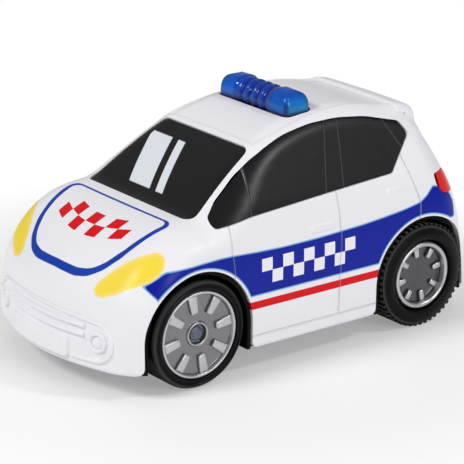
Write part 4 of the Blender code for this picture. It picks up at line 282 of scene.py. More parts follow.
def rear_screen_frame():
    up = Vector((0, -math.sin(TAILGATE_LEAN), math.cos(TAILGATE_LEAN)))
    foot_y = TAIL_Y - 35.5 * MM * math.tan(TAIL_LEAN) - 1.5 * MM * math.tan(TAILGATE_LEAN)
    return Vector((0, foot_y, 55 * MM)), Vector((-1, 0, 0)), up


def lamp_frame(side):
    place = Vector((side * BELT_HALF, TAIL_Y - 14 * MM, 0))
    return place, Vector((-side, 1, 0)).normalized(), Vector((0, 0, 1))


FLANK_FRAME = (Vector((0, 0, 0)), Vector((0, 1, 0)), Vector((0, 0, 1)))
PLAN_FRAME = (Vector((0, 0, 0)), Vector((1, 0, 0)), Vector((0, 1, 0)))


# %% [markdown]
# ## Making solids
# Everything is built with bmesh operators: grids, boxes, circles, extruded outlines and spun profiles.
# Booleans cut the openings, as the steel of the mould does.

# %% Basic solids
def box(low, high):
    low, high = Vector(low), Vector(high)
    bm = bmesh.new()
    bmesh.ops.create_cube(bm, size=1)
    bmesh.ops.scale(bm, vec=high - low, verts=bm.verts)
    bmesh.ops.translate(bm, vec=(low + high) / 2, verts=bm.verts)
    return bm


def prism(outline, place, across, up, low, high):
    normal = across.cross(up)
    bm = bmesh.new()
    corners = [bm.verts.new(place + normal * low + across * u + up * v) for u, v in outline]
    bm.faces.new(corners)
    swept = bmesh.ops.extrude_face_region(bm, geom=bm.faces[:])
    moved = [item for item in swept["geom"] if isinstance(item, bmesh.types.BMVert)]
    bmesh.ops.translate(bm, vec=normal * (high - low), verts=moved)
    bmesh.ops.recalc_face_normals(bm, faces=bm.faces)
    return bm


def spun(profile, steps):
    """A closed profile of (radius, height) points turned round Z."""
    bm = bmesh.new()
    verts = [bm.verts.new((radius, 0, height)) for radius, height in profile]
    edges = [bm.edges.new(pair) for pair in zip(verts, verts[1:] + verts[:1])]
    bmesh.ops.spin(
        bm, geom=verts + edges, cent=(0, 0, 0), axis=(0, 0, 1),
        angle=2 * math.pi, steps=steps, use_merge=True,
    )
    bmesh.ops.remove_doubles(bm, verts=bm.verts, dist=0.001 * MM)
    bmesh.ops.recalc_face_normals(bm, faces=bm.faces)
    return bm


def gather(*shapes):
    whole = shapes[0]
    for other in shapes[1:]:
        loose = bpy.data.meshes.new("loose")
        other.to_mesh(loose)
        other.free()
        whole.from_mesh(loose)
        bpy.data.meshes.remove(loose)
    return whole


def piece(name, bm, sharp=35):
    """The bmesh as a shown piece of the car."""
    mesh = bpy.data.meshes.new(name)
    bm.to_mesh(mesh)
    bm.free()
    mesh.shade_smooth()
    mesh.set_sharp_from_angle(angle=math.radians(sharp))
    made = bpy.data.objects.new(name, mesh)
    bpy.context.scene.collection.objects.link(made)
    return made


# %% Cut and join for good, so that what follows can measure the result
def apply_boolean(target, operation, bm):
    """One Boolean, applied at once; the tool is then removed."""
    tool = piece("tool", bm)
    modifier = target.modifiers.new("tool", "BOOLEAN")
    modifier.operation = operation
    modifier.object = tool
    modifier.solver = "MANIFOLD"
    graph = bpy.context.evaluated_depsgraph_get()
    done = bpy.data.meshes.new_from_object(target.evaluated_get(graph))
    target.modifiers.clear()
    old, target.data = target.data, done
    bpy.data.meshes.remove(old)
    bpy.data.objects.remove(tool)
    return target


def resmooth(made, sharp=35):
    made.data.shade_smooth()
    made.data.set_sharp_from_angle(angle=math.radians(sharp))
    return made


def coordinates(mesh):
    found = np.empty(len(mesh.vertices) * 3)
    mesh.vertices.foreach_get("co", found)
    return found.reshape(-1, 3)


# %% [markdown]
# ## Relief on the body
# The mould also carries low relief: the bumper's frame with its two bars,
# the blank number plate, two round lamps, the door handles and a roof panel
# that stands a little over its rails. Each is a height over the form, with a
# soft edge or a round back. The bumper itself lies slightly below the form,
# so that its relief ends about where the CAD's own does.

# %% Height of the relief over the form, in metres
ROOF_PANEL = [
    (x * MM, along * MM)
    for x, along in (
        (-9, 36.6), (23.6, 36.2), (23.8, 43), (23.2, 50), (22.3, 58), (21.0, 68), (20.0, 78),
        (19.6, 90), (20.2, 100.6), (-9, 101.6),
    )
]


def soft(distance, height, edge):
    """A flat top whose side slopes over the edge's width."""
    return height * (1 - ramp(distance, -edge / 2, edge / 2))


def round_back(distance, half, height):
    """A ridge with a round back, half as wide as it says on either side."""
    return height * np.sqrt(np.clip(1 - (np.maximum(distance + half, 0) / half) ** 2, 0, 1))


def bumper_relief(x, z):
    plate = bar_distance(x, z - 14.75 * MM, 16 * MM, 3.75 * MM, 1.8 * MM)
    bars = [
        bar_distance(x, z - height * MM, 22.7 * MM, 1.0 * MM, 1.0 * MM) for height in (20.9, 24.0)
    ]
    frame_top = 27.0 * MM - x**2 * 1.6 / (1000 * MM)
    middle, half = (frame_top + 12.4 * MM) / 2, (frame_top - 12.4 * MM) / 2
    ring = np.abs(bar_distance(x, z - middle, 33.5 * MM, half, 6 * MM)) - 0.75 * MM
    ring = np.maximum(ring, 0.6 * MM - plate)
    fog = np.hypot(np.abs(x) - 28 * MM, z - 19.2 * MM)
    fog_ring = np.abs(fog - 3.0 * MM) - 0.7 * MM
    dome = 0.6 * MM * np.sqrt(np.clip(1 - (fog / (2.2 * MM)) ** 2, 0, 1))
    heights = [
        soft(plate, 1.3 * MM, 1.2 * MM), round_back(ring, 0.75 * MM, 0.85 * MM),
        round_back(fog_ring, 0.7 * MM, 1.0 * MM), dome,
        *(round_back(bar, 1.0 * MM, 1.25 * MM) for bar in bars),
    ]
    sunk = soft(bar_distance(x, z - 19 * MM, 40 * MM, 12 * MM, 6 * MM), 0.6 * MM, 8 * MM)
    return np.maximum.reduce(heights) - sunk


def relief(x, y, z):
    along = y - FRONT_AXLE_Y
    front_grip = bar_distance(along - 53.5 * MM, z - 46.8 * MM, 5.5 * MM, 1.3 * MM, 1.2 * MM)
    rear_grip = bar_distance(along - 87.5 * MM, z - 53.3 * MM, 3.4 * MM, 0.8 * MM, 0.8 * MM)
    grips = soft(front_grip, 0.8 * MM, 0.6 * MM) + soft(rear_grip, 0.4 * MM, 0.7 * MM)
    beside = outline_distance(np.abs(x), along, ROOF_PANEL)
    rail = 0.55 * MM * ramp(beside, -0.9 * MM, 0.7 * MM) * ramp(z, 66 * MM, 71 * MM)
    rail = rail * ramp(along, 30 * MM, 37 * MM)
    drop = np.clip(1 - (z - FLOOR_Z) / (1.8 * MM), 0, 1)
    hem = 1.1 * MM * (1 - np.sqrt(1 - 0.95 * drop**2))
    nose = np.where(y < NOSE_Y + 26 * MM, bumper_relief(x, z), 0)
    return nose + np.where(np.abs(x) > 34 * MM, grips, 0) + rail - hem


def spoiler_lift(x, y, z):
    """The spoiler stands above the roof panel in front of it."""
    along = y - FRONT_AXLE_Y
    share = 0.68 * ramp(along, 90 * MM, 104 * MM) + 0.32 * ramp(along, 100.6 * MM, 101.6 * MM)
    share = share * ramp(z, 71 * MM, 73 * MM) * (1 - 0.85 * ramp(along, 104 * MM, 113 * MM))
    return 1.3 * MM * share * (1 - ramp(np.abs(x), 22 * MM, 27 * MM))


# %% [markdown]
# ## The shell
# A box of fine cells is thrown onto the form. The cells are divided again
# where the relief is small: on the nose, at the handles, along the hem and at
# the roof panel's edges. They are then moved out by the relief's height, along
# the form's own direction.

# %% A box made of cells, open underneath
def celled_box(low, high, cell):
    low, high = Vector(low), Vector(high)
    size, middle = high - low, (low + high) / 2
    counts = [max(2, round(length / cell)) for length in size]
    sides = (
        (0, 1, Matrix.Translation((middle.x, middle.y, high.z))),
        (0, 2, Matrix.Translation((middle.x, low.y, middle.z)) @ Matrix.Rotation(math.pi / 2, 4, "X")),
        (0, 2, Matrix.Translation((middle.x, high.y, middle.z)) @ Matrix.Rotation(math.pi / 2, 4, "X")),
        (2, 1, Matrix.Translation((low.x, middle.y, middle.z)) @ Matrix.Rotation(math.pi / 2, 4, "Y")),
        (2, 1, Matrix.Translation((high.x, middle.y, middle.z)) @ Matrix.Rotation(math.pi / 2, 4, "Y")),
    )
    whole = bmesh.new()
    for first, second, place in sides:
        grid = bmesh.new()
        bmesh.ops.create_grid(grid, x_segments=counts[first], y_segments=counts[second], size=0.5)
        bmesh.ops.scale(grid, vec=(size[first], size[second], 1), verts=grid.verts)
        bmesh.ops.transform(grid, matrix=place, verts=grid.verts)
        whole = gather(whole, grid)
    bmesh.ops.remove_doubles(whole, verts=whole.verts, dist=0.01 * MM)
    bmesh.ops.recalc_face_normals(whole, faces=whole.faces)
    return whole


def move_to(verts, places):
    for vert, place in zip(verts, places):
        vert.co = place


def throw(verts, inset=0.0):
    """Put the points on the body's form, or to a depth below it."""
    move_to(verts, skin_points([vert.co[:] for vert in verts], inset))


def closed_below(bm):
    rim = [edge for edge in bm.edges if edge.is_boundary]
    bmesh.ops.holes_fill(bm, edges=rim)
    bmesh.ops.recalc_face_normals(bm, faces=bm.faces)
    return bm


# %% Outer skin with its relief
CELL = 1.25 * MM
FOREMOST_Y = -83.85 * MM
skin = celled_box((-HALF_WIDTH, NOSE_Y, FLOOR_Z), (HALF_WIDTH, TAIL_Y, ROOF_CREST_Z), CELL)
throw(skin.verts)


def needs_detail(face):
    """Whether a cell carries relief that is smaller than the cell itself."""
    place = face.calc_center_median()
    along = place.y - FRONT_AXLE_Y
    bumper = place.y < NOSE_Y + 22 * MM and abs(place.x) < 35.5 * MM and place.z < 29 * MM
    grip = 46.5 * MM < along < 60.5 * MM and 44.5 * MM < place.z < 49.2 * MM
    rear_grip = 83 * MM < along < 92 * MM and 51.5 * MM < place.z < 55 * MM
    hem = place.z < FLOOR_Z + 2.2 * MM
    beside = 17.5 * MM < abs(place.x) < 26 * MM
    roof_edge = beside and place.z > 66 * MM and 31 * MM < along < 106 * MM
    roof_ends = place.z > 70 * MM and (34 * MM < along < 39 * MM or 98 * MM < along < 105 * MM)
    handle = abs(place.x) > 34 * MM and (grip or rear_grip)
    return bumper or hem or roof_edge or roof_ends or handle


fine_faces = [face for face in skin.faces if needs_detail(face)]
fine_edges = list({edge for face in fine_faces for edge in face.edges})
bmesh.ops.subdivide_edges(skin, edges=fine_edges, cuts=3, use_grid_fill=True)
places = skin_points([vert.co[:] for vert in skin.verts])
places = places + skin_normals(places) * relief(*places.T)[:, None]
places[:, 2] += spoiler_lift(*places.T)
places[:, 1] = np.maximum(places[:, 1], FOREMOST_Y)
move_to(skin.verts, places)
lip = [
    vert for vert in skin.verts
    if vert.co.y > FRONT_AXLE_Y + 106 * MM and 64 * MM < vert.co.z < 80 * MM
]
for _ in range(2):
    bmesh.ops.smooth_vert(skin, verts=lip, factor=0.5, use_axis_x=True, use_axis_y=True, use_axis_z=True)
shell = piece("shell_dressed", closed_below(skin))
print("outer skin:", len(shell.data.polygons), "faces")

# %% Hollow it, and cut the openings
core = celled_box((-HALF_WIDTH, NOSE_Y, FLOOR_Z - 6 * MM), (HALF_WIDTH, TAIL_Y, ROOF_CREST_Z), 4 * MM)
throw(core.verts, WALL)
apply_boolean(shell, "DIFFERENCE", closed_below(core))
SEAM = 0.22 * MM
PAST = 10 * MM


def arch_outline(centre_y, radius, foot=3.0 * MM):
    """A half circle over straight sides, whose feet flare out in a curve."""
    arc = [math.pi * step / 48 for step in range(49)]
    outline = [(centre_y + radius * math.cos(a), WHEEL_RADIUS + radius * math.sin(a)) for a in arc]
    curve = [math.pi / 2 * step / 6 for step in range(7)]
    flare = [(radius + foot * (1 - math.cos(a)), FLOOR_Z + foot * (1 - math.sin(a))) for a in curve]
    outline += [(centre_y - reach, z) for reach, z in flare]
    outline += [(centre_y - radius - foot, FLOOR_Z - PAST), (centre_y + radius + foot, FLOOR_Z - PAST)]
    return outline + [(centre_y + reach, z) for reach, z in reversed(flare)]


openings = [
    prism(grown(WINDSCREEN, SEAM), *windscreen_frame(), -PAST, PAST),
    prism(grown(REAR_SCREEN, SEAM), *rear_screen_frame(), -PAST, PAST),
    prism(grown(BAR_OUTLINE, 0.35 * MM), *PLAN_FRAME, ROOF_CREST_Z - 2 * PAST, ROOF_CREST_Z + PAST),
]
for side in (-1, 1):
    ends = sorted((side * 19 * MM, side * (HALF_WIDTH + PAST)))
    openings.append(prism(grown(SIDE_WINDOW, SEAM), *FLANK_FRAME, *ends))
    openings.append(prism(grown(TAIL_LAMP, SEAM), *lamp_frame(side), -1.5 * PAST, PAST))
    for axle_y in (FRONT_AXLE_Y, REAR_AXLE_Y):
        openings.append(prism(arch_outline(axle_y, ARCH_RADIUS), *FLANK_FRAME, *ends))
for opening in openings:
    apply_boolean(shell, "DIFFERENCE", opening)
resmooth(shell)
print("shell:", len(shell.data.polygons), "faces")

# %% [markdown]
# ## Printed areas
# The stripes, headlamps and hood lines are printed or sprayed on the shell.
# The shader needs to know how far each point lies from an outline, so that
# distance is kept on the mesh, in millimetres, negative inside.

# %% Where the prints lie, in millimetres from the front axle
FAR_AWAY = 40


def hood_run(x, y):
    """Length along the hood's arc from its crest, in millimetres."""
    drop = np.clip((HOOD_CREST_Y - bowed(x, y)) / HOOD_RADIUS, -0.99, 0.99)
    return 46 * np.arcsin(drop)


LAMP_POINTS = (
    (22.1, -29.1, 35.9), (22.3, -27.4, 38.2), (25.0, -23.9, 41.9), (28.2, -20.1, 45.2),
    (31.6, -16.5, 47.7), (34.6, -12.6, 49.2), (36.7, -11.0, 48.8), (38.5, -11.3, 47.3),
    (39.9, -12.8, 44.9), (40.2, -14.8, 42.9), (39.6, -17.4, 41.2), (37.6, -20.7, 39.7),
    (34.1, -24.3, 37.9), (30.4, -27.0, 35.6), (26.9, -28.8, 34.1), (24.1, -29.6, 34.2),
)
LAMP = [((x + y) / math.sqrt(2), z) for x, y, z in LAMP_POINTS]
BAND = [
    (-15.5, 30), (-17, 34.7), (-19.1, 37.3), (-20.7, 39.7), (-13.1, 43.9), (-8.3, 44.2),
    (-4, 44.3), (1.5, 44.6), (8.9, 44.8), (13.6, 44.7), (24, 44.1), (35.5, 43.7), (50.2, 43.8),
    (61.2, 44.2), (71.3, 44.6), (81.7, 45.4), (90.1, 46.2), (98.1, 47.4), (101.5, 49.2),
    (105, 52), (110, 51), (114.5, 47.2), (116, 44), (115.5, 38.6), (108, 38.4), (100, 30),
    (78, 28.2), (20, 28.2),
]
HOOD_OUTER = [(28.5, -8), (27.4, -13.7), (25.3, -20), (21.8, -24.8), (17, -28.1), (11.5, -29.7), (0, -30.2)]
HOOD_INNER = [(26.5, -6.7), (25.7, -11.5), (24, -17.5), (21, -22.7), (17, -26.2), (11, -27.8), (0, -28.3)]


def hood_outline(half, rear, corner):
    """Both halves of a hood line, as length across and length along the arc."""
    points = [(x, float(hood_run(x * MM, FRONT_AXLE_Y + y * MM))) for x, y in half]
    points = [(points[0][0] + 0.6, rear + corner), *points]
    points = [(points[0][0] - corner, rear), *points]
    whole = points + [(-x, run) for x, run in reversed(points[:-1])]
    return rounded([(x, run, 9.0) for x, run in whole], 4)


def print_distances(mesh):
    x, y, z = coordinates(mesh).T
    along = (y - FRONT_AXLE_Y) / MM
    up, across = z / MM, x / MM
    band = outline_distance(along, up, BAND)
    band = np.where(np.abs(across) > 24, band, FAR_AWAY)
    lamp = outline_distance((np.abs(across) + along) / math.sqrt(2), up, LAMP)
    lamp = np.where((along < 0) & (np.abs(across) > 14), lamp, FAR_AWAY)
    run = hood_run(x, y)
    outer = outline_distance(across, run, hood_outline(HOOD_OUTER, 7.2, 2.5))
    inner = outline_distance(across, run, hood_outline(HOOD_INNER, 8.2, 2.0))
    front = np.where(along < 3, 0, FAR_AWAY)
    return band, lamp, outer + front, inner + front, run


def door_seams(mesh):
    x, y, z = coordinates(mesh).T
    along, up = (y - FRONT_AXLE_Y) / MM, z / MM
    front = along - np.interp(up, (13.7, 38.5, 44.8, 51.9, 56), (16.5, 14.2, 13.6, 14.4, 15.5))
    rear = along - np.interp(up, (13.7, 16.3, 31.1, 44.8, 53.7, 58), (60.3, 60.4, 60.7, 61.0, 61.6, 62))
    quarter = along - np.interp(up, (38.5, 41.7, 47.6, 64.2), (97.2, 97.6, 98.2, 94.5))
    return front, rear, quarter


def keep_numbers(mesh, name, columns):
    layer = mesh.attributes.new(name, "FLOAT_VECTOR", "POINT")
    layer.data.foreach_set("vector", np.stack(columns, 1).astype(np.float32).ravel())


band, lamp, hood_outer, hood_inner, hood_along = print_distances(shell.data)
keep_numbers(shell.data, "prints", (band, lamp, hood_along))
keep_numbers(shell.data, "hood", (hood_outer, hood_inner, hood_along))
keep_numbers(shell.data, "seams", door_seams(shell.data))
print("print distances kept on", len(shell.data.vertices), "points")

# %% [markdown]
# ## Windows and tail lamps
# The windows are one-piece black panels that push into the shell's openings
# from inside, so each is a slab of the same form, a little below the skin.

# %% A slab of the form, cut to an outline
def skin_slab(place, across, up, cell, outer, inner):
    columns, rows = round(across.length / cell), round(up.length / cell)
    bm = bmesh.new()
    bmesh.ops.create_grid(bm, x_segments=columns, y_segments=rows, size=0.5)
    frame_matrix = Matrix.Identity(4)
    frame_matrix.col[0].xyz = across
    frame_matrix.col[1].xyz = up
    frame_matrix.col[2].xyz = across.cross(up).normalized()
    frame_matrix.col[3].xyz = place + across / 2 + up / 2
    bmesh.ops.transform(bm, matrix=frame_matrix, verts=bm.verts)
    base = list(bm.verts)
    swept = bmesh.ops.extrude_face_region(bm, geom=bm.faces[:])
    upper = [item for item in swept["geom"] if isinstance(item, bmesh.types.BMVert)]
    throw(upper, outer)
    throw(base, inner)
    bmesh.ops.recalc_face_normals(bm, faces=bm.faces)
    return bm


def panel(name, outline, plane, slab, depths, outer):
    made = piece(name, skin_slab(*slab, 1.2 * MM, outer, 3.2 * MM))
    return resmooth(apply_boolean(made, "INTERSECT", prism(outline, *plane, *depths)))


def flat_slab(plane, half, height, reach):
    place, across, up = plane
    corner = place - across * (half + reach) - up * reach
    return corner, across * 2 * (half + reach), up * (height + 2 * reach)


windscreen = panel(
    "windscreen_dressed", WINDSCREEN, windscreen_frame(),
    flat_slab(windscreen_frame(), 29.5 * MM, 35.2 * MM, 5 * MM), (-PAST, PAST), 0.3 * MM,
)
rear_screen = panel(
    "rear_window_dressed", REAR_SCREEN, rear_screen_frame(),
    flat_slab(rear_screen_frame(), 25 * MM, 15 * MM, 6 * MM), (-PAST, PAST), 0.3 * MM,
)
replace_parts(windscreen, "windscreen_panel")
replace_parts(rear_screen, "rear_window_panel")
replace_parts(shell, "body_shell")
side_windows, tail_lamps = [], []
for side, name in ((1, "left"), (-1, "right")):
    low_y = min(y for y, z in SIDE_WINDOW) - 4 * MM
    high_y = max(y for y, z in SIDE_WINDOW) + 4 * MM
    slab = (
        Vector((side * (BELT_HALF + MM), low_y, BELT_Z - 6 * MM)), Vector((0, high_y - low_y, 0)),
        Vector((-side * 34 * MM * math.tan(TUMBLEHOME), 0, 34 * MM)),
    )
    ends = sorted((side * 22 * MM, side * (HALF_WIDTH + PAST)))
    window = panel(f"side_window_{name}_dressed", SIDE_WINDOW, FLANK_FRAME, slab, ends, 0.3 * MM)
    beside_screen = prism(grown(WINDSCREEN, 2.5 * MM), *windscreen_frame(), -2 * PAST, PAST)
    apply_boolean(window, "DIFFERENCE", beside_screen)
    side_windows.append(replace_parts(resmooth(window), f"side_window_{name}") or window)
    place, across, up = lamp_frame(side)
    slab = (place - across * 11 * MM + up * 38 * MM, across * 28 * MM, up * 28 * MM)
    lens = panel(f"tail_lamp_{name}_dressed", TAIL_LAMP, lamp_frame(side), slab, (-PAST, PAST), -0.1 * MM)
    tail_lamps.append(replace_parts(lens, f"tail_lamp_{name}") or lens)
print("panels:", [made.name for made in (windscreen, rear_screen, *side_windows, *tail_lamps)])

# %% [markdown]
# ## Wheels
# The front wheels turn on a steel axle whose domed end shows in the hub. Their
# tyres are smooth. The rear wheels are driven, and have lugs on the tread. The
# hubs' bars are turned as the wheels stand in the photograph.

# %% Turn a wheel from its own axis to the car's
SPOKES, SPOKE_TURN, SPOKE_EDGE = 8, 0.23, 0.45 * MM
FRONT_TYRE_WIDTH, REAR_TYRE_WIDTH = 16 * MM, 17 * MM


def wheel_place(side, axle_y, width):
    inner = Vector((side * (HALF_WIDTH - width), axle_y, WHEEL_RADIUS))
    return Matrix.Translation(inner) @ Matrix.Rotation(side * math.pi / 2, 4, "Y")


def placed(bm, place):
    bmesh.ops.transform(bm, matrix=place, verts=bm.verts)
    bmesh.ops.recalc_face_normals(bm, faces=bm.faces)
    return bm


def spoke_bars(inner, outer, widths, low, high):
    """Raised bars on a hub's face, wider towards the rim, with softened edges."""
    bars = []
    for index in range(SPOKES):
        bar = box((inner, -0.5, low), (outer, 0.5, high))
        for vert in bar.verts:
            vert.co.y *= widths[0] if vert.co.x < (inner + outer) / 2 else widths[1]
        bmesh.ops.bevel(
            bar, geom=bar.edges[:], offset=SPOKE_EDGE, segments=3, profile=0.5,
            affect="EDGES", material=-1,
        )
        angle = (index + SPOKE_TURN) * 2 * math.pi / SPOKES
        bmesh.ops.rotate(bar, verts=bar.verts, cent=(0, 0, 0), matrix=Matrix.Rotation(angle, 3, "Z"))
        bars.append(bar)
    return gather(*bars)


def softened(corners, steps=3):
    """A wheel's profile in millimetres, its corners rounded."""
    return rounded([(r * MM, h * MM, radius * MM) for r, h, radius in corners], steps)


# %% Front wheels
STEPS = 96
for side, name in ((1, "left"), (-1, "right")):
    place = wheel_place(side, FRONT_AXLE_Y, FRONT_TYRE_WIDTH)
    hub = spun(softened([
        (1.8, 13.2, 0.1), (3.3, 13.2, 0.3), (3.6, 14.6, 0.3), (4.2, 14.7, 0.3), (4.6, 13.9, 0.3),
        (14.0, 14.1, 0.4), (14.5, 15.5, 0.3), (15.4, 15.6, 0.35), (15.4, 14.2, 0.1),
        (13.9, 13.2, 0.1), (13.9, 1.0, 0.3),
        (12.3, 1.0, 0.3), (12.3, 11.6, 0.5), (4.4, 11.6, 0.3), (4.4, 0.5, 0.2), (1.8, 0.5, 0.2),
    ]), STEPS)
    bars = spoke_bars(7.7 * MM, 14.1 * MM, (2.7 * MM, 3.7 * MM), 12.8 * MM, 15.1 * MM)
    front_hub = piece(f"front_hub_{name}_dressed", placed(gather(hub, bars), place))
    tyre = spun(softened([
        (15.7, 15.7, 0.3), (16.6, 15.9, 0.3), (17.2, 15.5, 0.2), (17.6, 15.9, 0.25), (18.2, 15.7, 0.4),
        (19.3, 14.2, 1.2), (19.3, 1.4, 1.2), (17.8, 0.3, 0.5), (14.2, 0.3, 0.3),
        (14.2, 13.8, 0.1), (15.7, 13.8, 0.1),
    ], 4), STEPS)
    front_tyre = piece(f"front_tyre_{name}_dressed", placed(tyre, place))
    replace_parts(front_hub, f"front_hub_{name}")
    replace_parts(front_tyre, f"front_tyre_{name}")
    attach(front_hub, f"front_wheel_{name}")
    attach(front_tyre, f"front_wheel_{name}")

# %% Rear wheels, with lugs drawn out of the tread
LUGS, LUG_RISE, TREAD_RADIUS = 50, 0.7 * MM, 18.6
LUG_ROWS = ((10.9, 15.9, (0, 1)), (5.4, 10.2, (1, 2)), (1.2, 5.4, (0, 1)))


def lugged_tyre():
    """Each row of lugs fills two of every four cells between two heights."""
    bands = (1.2, 5.4, 10.2, 10.9, 15.9)
    outline = softened([(12.6, 16.6, 0.3), (14.6, 17.0, 1.5), (17.7, 16.8, 0.4)])
    outline += [(TREAD_RADIUS * MM, height * MM) for height in reversed(bands)]
    outline += softened([(18.0, 0.4, 0.4), (11.1, 0.2, 0.3), (11.1, 14.5, 0.1), (12.6, 14.5, 0.1)])
    bm = spun(outline, 4 * LUGS)
    raised = []
    for face in bm.faces:
        middle = face.calc_center_median()
        cell = int((math.atan2(middle.y, middle.x) % (2 * math.pi)) / (math.pi / (2 * LUGS)))
        height, radius = middle.z / MM, math.hypot(middle.x, middle.y) / MM
        on_tread = abs(radius - TREAD_RADIUS) < 0.2
        if on_tread and any(low < height < high and cell % 4 in cells for low, high, cells in LUG_ROWS):
            raised.append(face)
    lifted = bmesh.ops.extrude_face_region(bm, geom=raised)["geom"]
    bmesh.ops.delete(bm, geom=raised, context="FACES_ONLY")
    for vert in [item for item in lifted if isinstance(item, bmesh.types.BMVert)]:
        reach = math.hypot(vert.co.x, vert.co.y)
        scale = (reach + LUG_RISE) / reach
        vert.co.x, vert.co.y = vert.co.x * scale, vert.co.y * scale
    tops = [item for item in lifted if isinstance(item, bmesh.types.BMFace)]
    top_set = set(tops)
    rim = [e for e in {e for f in tops for e in f.edges} if sum(f in top_set for f in e.link_faces) == 1]
    bmesh.ops.bevel(bm, geom=rim, offset=0.18 * MM, segments=2, profile=0.5, affect="EDGES", material=-1)
    return bm


for side, name in ((1, "left"), (-1, "right")):
    place = wheel_place(side, REAR_AXLE_Y, REAR_TYRE_WIDTH)
    hub = spun(softened([
        (0.02, 13.7, 0.01), (10.5, 13.7, 0.3), (10.7, 16.2, 0.5), (11.3, 16.7, 0.6),
        (12.3, 16.5, 0.6), (12.3, 14.9, 0.1), (10.9, 12.9, 0.1), (10.9, 1.0, 0.3),
        (9.2, 1.0, 0.3), (9.2, 11.8, 0.4), (4.4, 11.8, 0.3), (4.4, 0.5, 0.2), (1.8, 0.5, 0.2),
        (1.8, 11.8, 0.2), (0.02, 11.8, 0.01),
    ]), STEPS)
    bars = spoke_bars(6.5 * MM, 10.3 * MM, (1.9 * MM, 2.3 * MM), 12.4 * MM, 15.0 * MM)
    rear_hub = piece(f"rear_hub_{name}_dressed", placed(gather(hub, bars), place))
    rear_tyre = piece(f"rear_tyre_{name}_dressed", placed(lugged_tyre(), place), 30)
    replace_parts(rear_hub, f"rear_hub_{name}")
    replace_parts(rear_tyre, f"rear_tyre_{name}")
    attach(rear_hub, "rear_axle_set")
    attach(rear_tyre, "rear_axle_set")
print("wheels:", len(rear_tyre.data.polygons), "faces on a rear tyre")

# %% [markdown]
# ## Light bar
# A clear blue moulding with higher rounded ends and cross ribs in the lower middle. It is hollow. Its
# corners, foot and the dips between the ribs are painted a darker blue as shade, its end faces a brighter
# blue as a painted highlight, and its top a darker blue as painted shade.

# %% The bar's form, thrown like the body's
BAR_TOP_Z = 88.8 * MM
BAR_FOOT_Z = 75.4 * MM
BAR_WAIST, BAR_ROUND, RIB_PITCH = 0.9 * MM, 5.6 * MM, 4.2 * MM


def beacon_waist(x):
    """How far the ribbed middle lies below the ends: ribs, with dips between."""
    middle = 1 - ramp(np.abs(x), 8.4 * MM, 10.0 * MM)
    ribs = 0.5 + 0.5 * np.cos(2 * np.pi * x / RIB_PITCH)
    return middle * (0.5 + 0.9 * (1 - ribs))


def beacon_distance(x, y, z, inset):
    draft = (z - BAR_FOOT_Z) * 0.025
    waist = beacon_waist(x)
    half_y = BAR_HALF_Y - 0.55 * MM * waist
    plan = bar_distance(x, y - BAR_MIDDLE_Y, BAR_HALF_X, half_y, BAR_CORNER) + draft
    top = z - BAR_TOP_Z + BAR_WAIST * waist + np.abs(x) ** 2 / (700 * MM)
    return smooth_max(plan, top, BAR_ROUND) + inset


def beacon_points(points, inset):
    points = np.asarray(points, float)
    spine = np.stack([
        np.clip(points[:, 0], -14 * MM, 14 * MM), np.full(len(points), BAR_MIDDLE_Y),
        np.minimum(points[:, 2], 82 * MM),
    ], 1)
    way = points - spine
    way /= np.linalg.norm(way, axis=1)[:, None]
    near, far = np.zeros(len(points)), np.full(len(points), 30 * MM)
    return halved(spine, way, near, far, 30, lambda *place: beacon_distance(*place, inset) > 0)


def beacon_solid(foot, cell, inset):
    low = (-BAR_HALF_X, BAR_MIDDLE_Y - BAR_HALF_Y, foot)
    bm = celled_box(low, (BAR_HALF_X, BAR_MIDDLE_Y + BAR_HALF_Y, BAR_TOP_Z), cell)
    move_to(bm.verts, beacon_points([vert.co[:] for vert in bm.verts], inset))
    return closed_below(bm)


def beacon_painted_shade(mesh):
    """Where shade is painted on the bar: corners, foot, and between the ribs."""
    x, y, z = coordinates(mesh).T
    corner = np.hypot(BAR_HALF_X - np.abs(x), BAR_HALF_Y - np.abs(y - BAR_MIDDLE_Y))
    foot = 1 - ramp(z, 80.8 * MM, 82.4 * MM)
    ribs = 0.5 - 0.5 * np.cos(2 * np.pi * x / RIB_PITCH)
    middle = 1 - ramp(np.abs(x), 9.2 * MM, 11.0 * MM)
    return 1 - ramp(corner, 0.9 * MM, 2.2 * MM), foot, middle * (0.3 + 0.7 * ribs)


light_bar = piece("light_bar_dressed", beacon_solid(BAR_FOOT_Z, 0.5 * MM, 0))
apply_boolean(light_bar, "DIFFERENCE", beacon_solid(BAR_FOOT_Z - MM, 0.9 * MM, 1.5 * MM))
resmooth(light_bar)
# Keep the bar's painted shade on the mesh.
keep_numbers(light_bar.data, "beacon", beacon_painted_shade(light_bar.data))
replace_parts(light_bar, "light_bar")
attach(light_bar, "light_button")
print("light bar:", len(light_bar.data.polygons), "faces")

# %% [markdown]
# Under the bar a coil spring stands on the board and lifts the bar's stem. It is squeezed when the bar is
# pressed; here it is drawn again as a piece of its own, fixed to the car.

# %% The spring that the bar is pressed against
SPRING_STEPS = 96
SPRING_LOW, SPRING_HIGH = 69.95 * MM, 74.85 * MM
coil = bmesh.new()
wire_place = Matrix.Translation((4.6 * MM, BAR_MIDDLE_Y, SPRING_LOW)) @ Matrix.Rotation(math.pi / 2, 4, "X")
bmesh.ops.create_circle(coil, cap_ends=False, segments=8, radius=0.35 * MM, matrix=wire_place)
bmesh.ops.spin(
    coil, geom=coil.verts[:] + coil.edges[:], cent=(0, BAR_MIDDLE_Y, 0), axis=(0, 0, 1),
    dvec=(0, 0, (SPRING_HIGH - SPRING_LOW) / SPRING_STEPS), angle=8 * math.pi, steps=SPRING_STEPS,
)
bmesh.ops.holes_fill(coil, edges=[edge for edge in coil.edges if edge.is_boundary])
bmesh.ops.recalc_face_normals(coil, faces=coil.faces)
spring = piece("light_bar_spring_dressed", coil, 60)
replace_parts(spring, "light_bar_spring")
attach(spring, "car")
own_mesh(spring)
